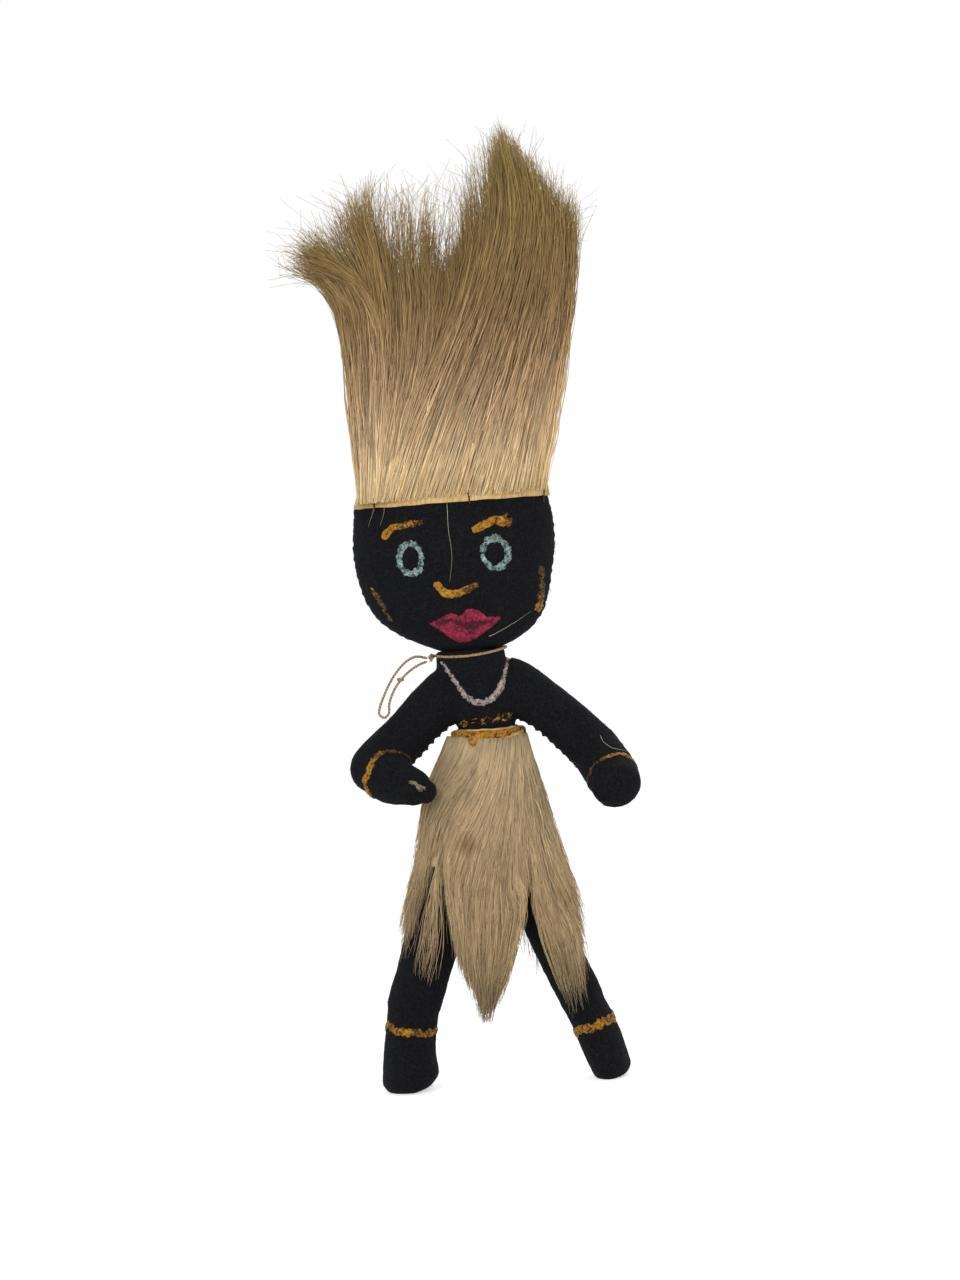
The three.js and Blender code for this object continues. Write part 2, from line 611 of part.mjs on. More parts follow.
const bell = toSolid(loft(skirtSlices, { between: 0 })).subtract(
  toSolid(loft(skirtSlices, { grow: -furThickness, above: 5, below: 5, between: 0 })));
const legSpaces = [rightLeg, leftLeg].map((leg) => toSolid(
  sweep(leg, { grow: turnGap + chordSag, lead: 2, sides: 12 })));
const skirtFur = skirtLocks.map(skirtLock).reduce((joined, lock) => joined.add(lock), bell)
  .subtract(toSolid(torsoShape(turnGap, { sides: 18 })))
  .subtract(waistBand(strapBottom - gap, strapTop, -2, strapOuter + turnGap))
  .subtract(legSpaces[0]).subtract(legSpaces[1]);
addPiece('skirt_fur', skirtFur, materials.hair);

// Head: two felt panels round the stuffing, closed on top by the strip of hide with the hair
const headTop = headSlices.at(-1)[0];
const headShape = (grow, more = {}) => loft(headSlices, { grow, above: 0, sides: 26, ...more });
const headInside = toSolid(headShape(-feltThickness, { above: 2, sides: 20, between: 0 }));
const headSkin = toSolid(headShape(0)).subtract(headInside).subtract(socket);
const panelSpace = (direction) => toSolid(
  new THREE.BoxGeometry(far, far, far).translate(0, (direction * (far + gap)) / 2, 0));
addPiece('head_front_felt', headSkin.intersect(panelSpace(-1)), materials.felt);
addPiece('head_back_felt', headSkin.intersect(panelSpace(1)), materials.felt);
const headCore = toSolid(headShape(-feltThickness - gap - chordSag, { sides: 20, between: 0 }));
addPiece('head_stuffing', headCore.subtract(socket), materials.stuffing);
const [scalpX, scalpWide, scalpDeep] = headSlices.at(-1).slice(1);
const scalpBottom = headTop + gap;
const scalpTop = scalpBottom + scalpHeight;
const scalpEdge = [
  [scalpBottom, 0.3], [scalpBottom + 0.9, scalpOverhang], [scalpTop - 0.9, scalpOverhang],
  [scalpTop, -0.4],
];
const scalpSlices = scalpEdge.map(([z, out]) => [z, scalpX, scalpWide + out, scalpDeep + out]);
addPiece('hair_hide_strip', toSolid(loft(scalpSlices, { sides: 32, between: 0 })), materials.hide);

function hairLock([rootX, bendX, tipX, tipY, heightShare, halfWidth]) {
  const root = point(rootX, 0, scalpTop + gap);
  const bend = point(bendX, 0, scalpTop + bendShare * hairHeight);
  const tip = point(tipX, tipY, scalpTop + heightShare * hairHeight);
  const rise = root.clone().lerp(bend, 0.5).setX(THREE.MathUtils.lerp(rootX, bendX, 0.45));
  const fall = bend.clone().lerp(tip, 0.55).setZ(THREE.MathUtils.lerp(bend.z, tip.z, 0.7));
  return toSolid(sweep({
    path: [root, rise, bend, fall, tip],
    half: [
      [halfWidth, hairHalfDepth], [1.05 * halfWidth, hairHalfDepth + 1], [halfWidth, hairHalfDepth],
      [0.7 * halfWidth, 0.55 * hairHalfDepth], [0.4, 0.4],
    ],
    endRound: 0,
  }, { steps: 5, sides: 8 }));
}

const hair = hairLocks.map(hairLock).reduce((joined, lock) => joined.add(lock))
  .subtract(toSolid(levelSlab(-far, scalpTop + gap)));
addPiece('hair_fur', hair, materials.hair);

// Painted face
const paintFace = (name, outline, material) => addPiece(
  name, paintOn((grow) => headShape(grow), frontCutter(outline, headBottom)), material);
for (const side of ['right', 'left']) {
  paintFace(`${side}_eyebrow_paint`, strokeOutline(brows[side], browWidths[side]), materials.yellowPaint);
  const { centre, half } = eyes[side];
  const ring = new THREE.Shape().absellipse(...centre, ...half, 0, 2 * Math.PI);
  const inner = half.map((size) => size - eyeStroke);
  ring.holes.push(new THREE.Path().absellipse(...centre, ...inner, 0, 2 * Math.PI));
  paintFace(`${side}_eye_ring_paint`, ring, materials.mintPaint);
  paintFace(`${side}_ear_paint`, strokeOutline(earMarks[side], earMarkWidth), materials.yellowPaint);
}
paintFace('nose_paint', strokeOutline(nose, noseWidth), materials.yellowPaint);
const lips = new THREE.SplineCurve([...mouth, mouth[0]].map((place) => new THREE.Vector2(...place)));
paintFace('mouth_paint', new THREE.Shape(lips.getPoints(24)), materials.lipPaint);

// Arms and legs turn against the torso, hands and feet against the limb above them
const endOf = ({ path }) => new THREE.CatmullRomCurve3(path).getTangentAt(1);
const middleOf = ({ path }) => new THREE.CatmullRomCurve3(path).getTangentAt(0.5);
const wristAxis = (arm, hand) => endOf(arm).cross(middleOf(hand)).normalize();
const ankleAxis = (leg) => point(0, 1, 0).cross(endOf(leg)).normalize();
const limbSides = {
  right: {
    arm: rightArm,
    hand: rightHand,
    leg: rightLeg,
    foot: rightFoot,
    shoulder: shoulderRight,
    raise: point(0, 1, 0),
    wristRange: wristRangeRight,
    bracelet: braceletRight,
  },
  left: {
    arm: leftArm,
    hand: leftHand,
    leg: leftLeg,
    foot: leftFoot,
    shoulder: shoulderLeft,
    raise: point(0, -1, 0),
    wristRange: wristRangeLeft,
    bracelet: braceletLeft,
  },
};
const paintReach = gap + paintThickness + turnGap;
const besideArm = toGeometry(toSolid(torsoShape(turnGap, { sides: 16 }))
  .add(waistBand(strapBottom - gap, strapTop + gap, -1, waistPaintInner + paintThickness + turnGap))
  .add(toSolid(torsoShape(paintReach, { sides: 16 }))
    .intersect(frontCutter(strokeOutline(necklace, necklaceWidth + 2 * turnGap), collarTop))));
// Turned a little, so that its corners don't meet those of the legs
const hipBall = toSolid(new THREE.SphereGeometry(1.015, 18, 10).rotateZ(Math.PI / 2).rotateX(0.1)
  .scale(pelvis.halfWidth + turnGap, pelvis.radius + turnGap, pelvis.radius + turnGap)
  .translate(pelvis.x, 0, hipHeight));
for (const [side, s] of Object.entries(limbSides)) {
  const armSpace = pathOf(besideArm, s.shoulder, s.raise, shoulderRange);
  addLimb(`${side}_arm`, s.arm, armSpace, { wireFrom: wireStart.arm, openEnd: true });
  const handSpace = fanOf(s.arm, wristAxis(s.arm, s.hand), s.wristRange);
  addLimb(`${side}_hand`, s.hand, handSpace, { wireFrom: wireStart.hand, openEnd: false });
  const bracelet = paintBand(s.hand, s.bracelet, s.bracelet + braceletWidth);
  addPiece(`${side}_bracelet_paint`, bracelet.subtract(handSpace), materials.yellowPaint);

  addLimb(`${side}_leg`, s.leg, hipBall, { wireFrom: wireStart.leg, openEnd: true });
  const footSpace = fanOf(s.leg, ankleAxis(s.leg), ankleRange);
  addLimb(`${side}_foot`, s.foot, footSpace, { wireFrom: wireStart.foot, openEnd: false, sole: 0 });
  const anklet = paintBand(s.foot, ankletFromAnkle, ankletFromAnkle + ankletWidth);
  addPiece(`${side}_anklet_paint`, anklet.subtract(footSpace), materials.yellowPaint);
}

// Stand the doll over the origin
const box = new THREE.Box3();
for (const mesh of doll.children) {
  if (mesh.name !== 'neck_string_loop') box.expandByObject(mesh);
}
const middle = box.getCenter(point(0, 0, 0));
doll.position.set(-middle.x, -middle.y, -box.min.z);

export default doll;
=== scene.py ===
"""A hand-sewn felt doll with hair and a skirt of animal hide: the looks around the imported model.

Places are given in the drawing's millimetres, as in the part's source, and turned into the row
frame's metres by to_frame. The doll faces -Y, and its left side is +X.
"""
import math

import bpy
import numpy as np
from mathutils import Matrix, Vector, noise
from mathutils.bvhtree import BVHTree


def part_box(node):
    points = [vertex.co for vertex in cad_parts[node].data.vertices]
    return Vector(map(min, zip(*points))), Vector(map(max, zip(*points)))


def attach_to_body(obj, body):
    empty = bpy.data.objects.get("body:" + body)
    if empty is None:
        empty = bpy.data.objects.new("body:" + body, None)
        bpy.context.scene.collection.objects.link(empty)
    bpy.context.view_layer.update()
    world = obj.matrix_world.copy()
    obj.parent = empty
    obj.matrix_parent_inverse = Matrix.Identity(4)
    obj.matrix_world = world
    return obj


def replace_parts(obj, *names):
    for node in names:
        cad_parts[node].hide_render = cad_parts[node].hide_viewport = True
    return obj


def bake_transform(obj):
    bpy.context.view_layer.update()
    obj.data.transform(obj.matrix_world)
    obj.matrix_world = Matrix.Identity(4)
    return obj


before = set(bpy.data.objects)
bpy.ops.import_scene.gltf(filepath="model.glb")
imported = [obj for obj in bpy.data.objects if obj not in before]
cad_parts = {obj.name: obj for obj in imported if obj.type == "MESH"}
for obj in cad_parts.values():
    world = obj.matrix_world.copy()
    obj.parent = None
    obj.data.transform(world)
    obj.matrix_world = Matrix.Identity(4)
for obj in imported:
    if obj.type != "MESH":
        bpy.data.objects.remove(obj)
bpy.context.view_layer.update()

MM = 0.001
TAU = 2 * math.pi
NECK_X = -2.2
SIDES = {"right": -1, "left": 1}  # the doll's own sides, and where they lie in x

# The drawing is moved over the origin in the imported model: the neck roll says by how much
roll_low, roll_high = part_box("neck_roll")
SHIFT = np.array([(roll_low.x + roll_high.x) / 2 / MM - NECK_X, (roll_low.y + roll_high.y) / 2 / MM, 0])


def to_frame(points):
    """Places in the drawing's millimetres, as metres in the row frame."""
    return (np.asarray(points, float) + SHIFT) * MM


# ---- Camera, light and floor

PICTURE_CENTRE = (0.4, 0.0, 111.4)
PICTURE_HEIGHT = 320.0  # millimetres at the doll
CAMERA_DISTANCE = 1.1  # metres
CAMERA_ELEVATION = 2.0
CAMERA_ROLL = 4.27
SENSOR = 36.0

camera = bpy.data.objects.new("camera", bpy.data.cameras.new("camera"))
bpy.context.scene.collection.objects.link(camera)
camera.data.sensor_width = SENSOR
camera.data.lens = SENSOR * CAMERA_DISTANCE / (PICTURE_HEIGHT * MM)
target = Vector(to_frame(PICTURE_CENTRE))
lift, lean = math.radians(CAMERA_ELEVATION), math.radians(CAMERA_ROLL)
back = Vector((0, -math.cos(lift), math.sin(lift)))
camera.location = target + back * CAMERA_DISTANCE
level_right = Vector((0, 0, 1)).cross(back).normalized()
level_up = back.cross(level_right)
right = level_right * math.cos(lean) - level_up * math.sin(lean)
up = level_up * math.cos(lean) + level_right * math.sin(lean)
camera.rotation_mode = "QUATERNION"
camera.rotation_quaternion = Matrix((right, up, back)).transposed().to_quaternion()
camera.data.clip_start, camera.data.clip_end = 0.01, 50
bpy.context.scene.camera = camera
bpy.context.scene.view_settings.view_transform = "Standard"


class Nodes:
    """Adds nodes to a tree. An input is a number, a colour or another node's output."""

    def __init__(self, tree):
        self.tree = tree

    def add(self, kind, inputs=None, **settings):
        node = self.tree.nodes.new(kind)
        for name, value in settings.items():
            setattr(node, name, value)
        for name, value in (inputs or {}).items():
            if isinstance(value, bpy.types.NodeSocket):
                self.tree.links.new(value, node.inputs[name])
            else:
                node.inputs[name].default_value = value
        return node

    def noise(self, scale, detail=4.0, roughness=0.6, stretch=(1, 1, 1)):
        place = self.add("ShaderNodeTexCoord").outputs["Object"]
        place = self.add("ShaderNodeMapping", {"Vector": place, "Scale": stretch}).outputs["Vector"]
        return self.add("ShaderNodeTexNoise", {
            "Vector": place, "Scale": scale, "Detail": detail, "Roughness": roughness,
        }).outputs["Fac"]

    def ramp(self, value, stops):
        node = self.add("ShaderNodeValToRGB", {"Fac": value})
        while len(node.color_ramp.elements) < len(stops):
            node.color_ramp.elements.new(0.5)
        for element, (place, colour) in zip(node.color_ramp.elements, stops):
            element.position = place
            element.color = colour
        return node.outputs["Color"]

    def mix(self, share, first, second, kind="MIX"):
        node = self.add("ShaderNodeMix", {0: share, 6: first, 7: second}, data_type="RGBA", blend_type=kind)
        return node.outputs[2]

    def math(self, operation, first, second):
        return self.add("ShaderNodeMath", {0: first, 1: second}, operation=operation).outputs[0]

    def attribute(self, name):
        return self.add("ShaderNodeAttribute", attribute_name=name).outputs["Fac"]

    def bump(self, height, distance, strength=1.0, normal=None):
        inputs = {"Height": height, "Distance": distance, "Strength": strength}
        if normal is not None:
            inputs["Normal"] = normal
        return self.add("ShaderNodeBump", inputs).outputs["Normal"]


def srgb(code):
    """A colour written as 0xRRGGBB, as linear red, green, blue and alpha."""
    parts = [(code >> place & 255) / 255 for place in (16, 8, 0)]
    return tuple(c / 12.92 if c <= 0.04045 else ((c + 0.055) / 1.055) ** 2.4 for c in parts) + (1.0,)


def grey(value):
    return (value, value, value, 1.0)


def seen_directly(nodes):
    """1 for the rays that show a thing itself: the camera's, and those in gloss and glass."""
    path = nodes.add("ShaderNodeLightPath")
    seen = path.outputs["Is Camera Ray"]
    for ray in ("Is Glossy Ray", "Is Transmission Ray"):
        seen = nodes.math("MAXIMUM", seen, path.outputs[ray])
    return seen


WORLD_LEVEL = 0.62
world = bpy.data.worlds.new("studio")
bpy.context.scene.world = world
world.use_nodes = True
nodes = Nodes(world.node_tree)
white = nodes.add("ShaderNodeBackground", {"Color": grey(1.0), "Strength": 1.0})
soft = nodes.add("ShaderNodeBackground", {"Color": (0.97, 0.985, 1.0, 1.0), "Strength": WORLD_LEVEL})
mixed = nodes.add("ShaderNodeMixShader", {0: seen_directly(nodes), 1: soft.outputs[0], 2: white.outputs[0]})
world.node_tree.links.new(mixed.outputs[0], world.node_tree.nodes["World Output"].inputs["Surface"])


def add_lamp(name, place, size, power):
    data = bpy.data.lights.new(name, "AREA")
    data.shape = "DISK"
    data.size, data.energy = size, power
    lamp = bpy.data.objects.new(name, data)
    lamp.location = place
    lamp.rotation_mode = "QUATERNION"
    lamp.rotation_quaternion = (Vector(place) - target).to_track_quat("Z", "Y")
    bpy.context.scene.collection.objects.link(lamp)


add_lamp("key", (-0.2, -0.98, 0.55), 0.45, 4.4)
add_lamp("fill", (0.6, -0.75, 0.3), 0.6, 1.2)
add_lamp("rim", (0.25, 0.75, 0.65), 0.5, 1.6)


def add_floor():
    mesh = bpy.data.meshes.new("floor")
    mesh.from_pydata([(-4, -4, 0), (4, -4, 0), (4, 4, 0), (-4, 4, 0)], [], [(0, 1, 2, 3)])
    floor = bpy.data.objects.new("floor", mesh)
    bpy.context.scene.collection.objects.link(floor)
    finish = bpy.data.materials.new("floor_paper")
    finish.use_nodes = True
    tree = finish.node_tree
    tree.nodes.remove(tree.nodes["Principled BSDF"])
    nodes = Nodes(tree)
    paper = nodes.add("ShaderNodeBsdfDiffuse", {"Color": grey(0.8)})
    glow = nodes.add("ShaderNodeEmission", {"Color": grey(1.0), "Strength": 0.58})
    lit = nodes.add("ShaderNodeAddShader", {0: paper.outputs[0], 1: glow.outputs[0]})
    mixed = nodes.add("ShaderNodeMixShader", {0: seen_directly(nodes), 1: paper.outputs[0], 2: lit.outputs[0]})
    tree.links.new(mixed.outputs[0], tree.nodes["Material Output"].inputs["Surface"])
    mesh.materials.append(finish)


add_floor()


# ---- Materials

def new_material(name, **sockets):
    """A material, its node adder and its shader, with the sockets that are the same all over."""
    made = bpy.data.materials.new(name)
    made.use_nodes = True
    shader = made.node_tree.nodes["Principled BSDF"]
    for socket, value in sockets.items():
        shader.inputs[socket.replace("_", " ")].default_value = value
    return made, Nodes(made.node_tree), shader


def wired(made, shader, **sources):
    for socket, source in sources.items():
        made.node_tree.links.new(source, shader.inputs[socket.replace("_", " ")])
    return made


def felt_finish():
    made, nodes, shader = new_material(
        "black_felt", Roughness=0.95, Specular_IOR_Level=0.1, Sheen_Weight=0.012, Sheen_Roughness=0.5,
        Sheen_Tint=(0.72, 0.82, 1.0, 1.0))
    fibres, clumps = nodes.noise(1700, 5, 0.75), nodes.noise(260, 3)
    dark = nodes.mix(clumps, (0.0022, 0.0022, 0.0026, 1), (0.0072, 0.0074, 0.0086, 1))
    colour = nodes.mix(nodes.ramp(fibres, [(0.45, grey(0)), (0.7, grey(1))]), dark, (0.016, 0.0165, 0.019, 1))
    coarse = nodes.bump(nodes.noise(420, 4, 0.7), 0.0006, 0.85)
    return wired(made, shader, Base_Color=colour, Normal=nodes.bump(fibres, 0.0003, 0.9, coarse))


def fuzz_finish():
    made, nodes, shader = new_material("felt_fibres", Roughness=0.9, Specular_IOR_Level=0.1)
    colour = nodes.mix(nodes.attribute("tone"), (0.004, 0.0042, 0.005, 1), (0.02, 0.021, 0.025, 1))
    return wired(made, shader, Base_Color=nodes.mix(nodes.noise(500), colour, grey(0.004)))


def hair_finish(name, stops, dark, pale, stain=None):
    """Animal hair: its colour runs along each hair, and differs from hair to hair."""
    made, nodes, shader = new_material(name, Roughness=0.5, Specular_IOR_Level=0.3)
    along = nodes.ramp(nodes.attribute("along"), stops)
    if stain:
        place, reach, colour = stain
        here = nodes.add("ShaderNodeTexCoord").outputs["Object"]
        apart = nodes.add("ShaderNodeVectorMath", {0: here, 1: place}, operation="DISTANCE").outputs["Value"]
        ragged = nodes.math("MULTIPLY", apart, nodes.math("ADD", nodes.noise(350), 0.5))
        spot = nodes.ramp(ragged, [(reach * 0.3, grey(0.75)), (reach, grey(0))])
        along = nodes.mix(spot, along, srgb(colour))
    tone = nodes.ramp(nodes.attribute("tone"), [(0.0, dark), (0.5, grey(1.0)), (1.0, pale)])
    colour = nodes.mix(1.0, along, tone, "MULTIPLY")
    mottle = nodes.ramp(nodes.noise(420, 3, stretch=(1, 1, 0.3)), [(0.34, grey(0.9)), (0.66, grey(1.07))])
    return wired(made, shader, Base_Color=nodes.mix(1.0, colour, mottle, "MULTIPLY"))


def hide_finish():
    made, nodes, shader = new_material("hide", Roughness=0.72, Specular_IOR_Level=0.3)
    fibres = nodes.noise(2600, 4, 0.7, stretch=(1, 1, 0.12))
    colour = nodes.ramp(nodes.noise(300, 5, 0.65), [
        (0.3, srgb(0xc29a58)), (0.5, srgb(0xdfba7c)), (0.75, srgb(0xebd09a))])
    streaks = nodes.ramp(fibres, [(0.36, grey(0.72)), (0.6, grey(1.06))])
    return wired(made, shader, Base_Color=nodes.mix(1.0, colour, streaks, "MULTIPLY"),
                 Normal=nodes.bump(fibres, 0.0004, 0.9))


def paint_finish(name, thin, full, pale):
    """Fabric paint: dabs of full and pale colour, and thin where it is worn off the felt."""
    made, nodes, shader = new_material(name, Roughness=0.62, Specular_IOR_Level=0.3)
    crumbs, patches = nodes.noise(1700, 4, 0.75), nodes.noise(620, 4, 0.7)
    level = nodes.math("SUBTRACT", nodes.math("ADD", nodes.math("MULTIPLY", crumbs, 1.4), patches), 0.7)
    level = nodes.math("SUBTRACT", level, nodes.math("MULTIPLY", nodes.attribute("wear"), 0.3))
    colour = nodes.ramp(level, [(0.34, srgb(thin)), (0.44, srgb(full)), (0.56, srgb(full)), (0.7, srgb(pale))])
    coarse = nodes.bump(patches, 0.0009, 0.9)
    return wired(made, shader, Base_Color=colour, Normal=nodes.bump(crumbs, 0.0007, 1.0, coarse))


def thread_finish(name, low, high, roughness=0.7):
    made, nodes, shader = new_material(name, Roughness=roughness, Specular_IOR_Level=0.3)
    fibres = nodes.noise(2600, 3, 0.6)
    return wired(made, shader, Base_Color=nodes.ramp(fibres, [(0.35, srgb(low)), (0.65, srgb(high))]),
                 Normal=nodes.bump(fibres, 0.0002, 0.7))


def wire_finish():
    made, nodes, shader = new_material("galvanised_wire", Metallic=0.9)
    scale = nodes.noise(700, 4)
    return wired(made, shader, Base_Color=nodes.ramp(scale, [(0.3, grey(0.22)), (0.7, grey(0.42))]),
                 Roughness=nodes.ramp(scale, [(0.3, grey(0.5)), (0.7, grey(0.3))]),
                 Normal=nodes.bump(scale, 0.0001, 0.4))


FELT = felt_finish()
FUZZ = fuzz_finish()
HEAD_HAIR = hair_finish("hair", [
    (0.0, srgb(0xf3d6a0)), (0.1, srgb(0xf6dbae)), (0.3, srgb(0xd2b084)), (0.52, srgb(0xa88a58)),
    (0.75, srgb(0xa98c57)), (1.0, srgb(0xa68e50))], grey(0.45), grey(1.42))
SKIRT_HAIR = hair_finish("skirt_hair", [
    (0.0, srgb(0xc4ad86)), (0.3, srgb(0xd3b98f)), (0.65, srgb(0xc9ad83)), (1.0, srgb(0xa18d68))],
    grey(0.52), grey(1.32), (tuple(to_frame((-6.8, -12.3, 61.3))), 0.0032, 0x8f6a36))
LOOSE_HAIR = hair_finish("loose_hair", [(0.0, srgb(0xc8bfa8)), (1.0, srgb(0xa59a80))], grey(0.8), grey(1.3))
HIDE = hide_finish()
YELLOW = paint_finish("yellow_paint", 0x4a3210, 0xbd821f, 0xe2ac38)
PALE = paint_finish("pale_paint", 0x453e3e, 0xb3a19c, 0xe0d4cd)
CRUST = paint_finish("pale_crust", 0x39352a, 0x8f8766, 0xb9b28c)
MINT = paint_finish("mint_paint", 0x37474a, 0x94aca9, 0xd6e5e1)
LIPS = paint_finish("lip_paint", 0x4a0d18, 0x9f2442, 0xc4465f)
STRING = thread_finish("waxed_string", 0x7d6546, 0xc4a981)
BROWN_THREAD = thread_finish("brown_thread", 0x2c1c12, 0x5a3c26)
BLACK_THREAD = thread_finish("black_thread", 0x0b0b0e, 0x26262c, 0.55)
WIRE = wire_finish()


# ---- Mesh helpers

STITCH = 2.3  # from one stitch of a seam to the next
SLANT = 0.55  # how far a stitch leans along its seam, each way
FINE_LUMP = 2.1
SMOOTHING = 5  # rounds that take the steps out of a remeshed skin
BATCH = 4000  # points that are measured against a seam at a time


def unit(vectors):
    return vectors / np.maximum(np.linalg.norm(vectors, axis=-1, keepdims=True), 1e-9)


def turns_round(sides):
    """Even angles round a ring."""
    return np.arange(sides) * TAU / sides


def lengths_along(points):
    """How far each point of a path lies from its start."""
    return np.concatenate([[0], np.cumsum(np.linalg.norm(np.diff(points, axis=0), axis=1))])


def rows_at(at, along, rows):
    """The rows of a table at some distances, given how far along each row lies."""
    return np.stack([np.interp(at, along, column) for column in rows.T], axis=-1)


def hermite(t):
    """The weights of two ends, each with its slope, on a smooth curve between them."""
    return 2 * t**3 - 3 * t**2 + 1, t**3 - 2 * t**2 + t, 3 * t**2 - 2 * t**3, t**3 - t**2


def smooth_path(rows, count):
    """Rows at even steps along a curve through a few rows. The first three columns are the place."""
    rows = np.asarray(rows, float)
    rows = np.vstack([2 * rows[0] - rows[1], rows, 2 * rows[-1] - rows[-2]])
    first, leave, last, arrive = hermite(np.linspace(0, 1, 25)[:-1, None])
    dense = []
    for a, b, c, d in zip(rows, rows[1:], rows[2:], rows[3:]):
        d0, d1, d2 = (max(np.linalg.norm(step[:3]) ** 0.5, 1e-4) for step in (b - a, c - b, d - c))
        m1 = ((b - a) / d0 - (c - a) / (d0 + d1) + (c - b) / d1) * d1
        m2 = ((c - b) / d1 - (d - b) / (d1 + d2) + (d - c) / d2) * d1
        dense.append(first * b + leave * m1 + last * c + arrive * m2)
    dense = np.vstack([*dense, rows[-2][None]])
    length = lengths_along(dense[:, :3])
    return rows_at(np.linspace(0, length[-1], count), length, dense)


def frames_along(points, facing=(0, -1, 0)):
    """The direction, and two directions across it, at each point of a path."""
    tangent = unit(np.gradient(points, axis=0))
    normal = np.array(facing, float)
    normals = []
    for direction in tangent:
        normal = unit(normal - normal.dot(direction) * direction)
        normals.append(normal)
    normals = np.array(normals)
    return tangent, normals, np.cross(normals, tangent)


def ring_faces(rings, sides, closed=False):
    """Quads between rings of points, each with so many sides."""
    ring = np.arange(rings if closed else rings - 1)[:, None]
    side = np.arange(sides)[None, :]
    following = (side + 1) % sides
    above = (ring + 1) % rings
    quads = np.stack([ring * sides + side, ring * sides + following,
                      above * sides + following, above * sides + side], axis=-1)
    return quads.reshape(-1, 4)


def with_caps(points, quads, sides):
    """The faces as a list, closed by fans at both ends, and the points with the fans' middles."""
    last = len(points) - sides
    points = np.vstack([points, points[:sides].mean(0), points[last:].mean(0)])
    low, high = len(points) - 2, len(points) - 1
    faces = [tuple(map(int, quad)) for quad in quads]
    for side in range(sides):
        following = (side + 1) % sides
        faces.append((low, following, side))
        faces.append((high, last + side, last + following))
    return points, faces


def mesh_object(name, points, faces, finish, attributes=None):
    """A Blender mesh object from places in the drawing's millimetres."""
    mesh = bpy.data.meshes.new(name)
    placed = to_frame(points).astype(np.float32)
    if isinstance(faces, np.ndarray):
        count, sides = faces.shape
        mesh.vertices.add(len(placed))
        mesh.vertices.foreach_set("co", placed.ravel())
        mesh.loops.add(count * sides)
        mesh.loops.foreach_set("vertex_index", faces.astype(np.int32).ravel())
        mesh.polygons.add(count)
        mesh.polygons.foreach_set("loop_start", np.arange(0, count * sides, sides, dtype=np.int32))
        mesh.update(calc_edges=True)
    else:
        mesh.from_pydata(placed.tolist(), [], faces)
        mesh.update()
    mesh.polygons.foreach_set("use_smooth", np.full(len(mesh.polygons), True))
    for label, values in (attributes or {}).items():
        mesh.attributes.new(label, "FLOAT", "POINT").data.foreach_set("value", values.astype(np.float32))
    mesh.materials.append(finish)
    made = bpy.data.objects.new(name, mesh)
    bpy.context.scene.collection.objects.link(made)
    return made


def attach(piece, motion, slot=None, replaced=()):
    """Lets a piece move with a body: motion is a body, or two bodies and two places, with which the piece only
    keeps its place as it stands.
    """
    if isinstance(motion, str):
        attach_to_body(piece, motion)
    else:
        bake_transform(piece)
    if replaced:
        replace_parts(piece, *replaced)
    return piece


def lumps(points, size=9.0, height=0.32, fine=0.11):
    """How far stuffed cloth stands out or in at each place, in millimetres."""
    places = map(Vector, points)
    return np.array([height * noise.noise(at / size) + fine * noise.noise(at / FINE_LUMP) for at in places])


def point_normals(points, faces):
    """Normals at the points of a mesh whose faces are all quads or all triangles."""
    corners = points[faces]
    normals = np.cross(corners[:, 2] - corners[:, 0], corners[:, -1] - corners[:, 1])
    summed = np.zeros_like(points)
    for column in range(faces.shape[1]):
        np.add.at(summed, faces[:, column], normals)
    return unit(summed)


# ---- The doll's forms, as in the part's source

TORSO = [
    (71.82, 0.6, 4.18, 3.29), (72.8, 0.6, 5.96, 4.68), (74.82, 0.6, 7.93, 6.24), (78, 0.6, 8.9, 7.0),
    (82.56, 0.7, 8.3, 7.0), (88, 0.8, 6.8, 6.3), (91.44, 0.2, 7.6, 6.9), (95.04, -0.7, 9.0, 7.9),
    (102, -1.8, 9.0, 8.3), (106.2, -2.2, 8.8, 8.7), (108.2, -2.2, 8.7, 8.6), (109.1, -2.2, 8.5, 8.2),
]
HEAD = [
    (108.7, -2.6, 5.0, 4.4), (109.9, -2.2, 8.8, 6.4), (112.4, -2.5, 14.2, 8.6), (116.5, -3.4, 19.4, 10.4),
    (121.5, -4.2, 22.3, 11.7), (128, -4.6, 24.2, 12.5), (135, -4.2, 25.2, 12.4),
    (141.5, -4.1, 24.9, 11.5), (147, -4.3, 24.1, 10.4),
]
BELL = [
    (10, -1.7, 22.4, 13.2), (30, -1.7, 22.4, 13.4), (50, -1.7, 20.4, 12.9), (60, -1.4, 17.2, 12.3),
    (70, -1.6, 14.8, 11.6), (78, -0.5, 12.4, 10.5), (83, 0.5, 10.5, 9.7), (87, 0.8, 9.4, 9.0),
    (90, 0.8, 9.1, 8.8),
]
RIGHT_ARM = [
    (-5.6, 0, 101.4, 5.5, 4.4), (-8.5, 0, 99, 6.5, 6.0), (-18.2, -0.5, 90.6, 6.0, 6.1),
    (-27.8, -2, 81.6, 6.5, 6.5),
]
LEFT_ARM = [
    (4.4, 0, 102.4, 5.5, 4.4), (7.4, 0, 100, 6.5, 6.0), (17.9, -0.5, 91.6, 6.0, 6.1),
    (27.4, -2, 81.6, 6.5, 6.5),
]
RIGHT_HAND = [(-27.8, -2, 81.6, 6.4, 6.4), (-23.6, -7.2, 78.4, 6.1, 6.0), (-18.8, -11.2, 76.6, 4.6, 4.8)]
RIGHT_FINGERS = [(-19.5, -11.6, 76.6, 3.6, 3.6), (-15.8, -12.9, 75.3, 2.9, 2.9)]
LEFT_HAND = [(27.4, -2, 81.6, 6.4, 6.4), (29.9, -7.4, 77.2, 6.5, 6.5), (31.4, -12.6, 73.8, 6.2, 6.2)]
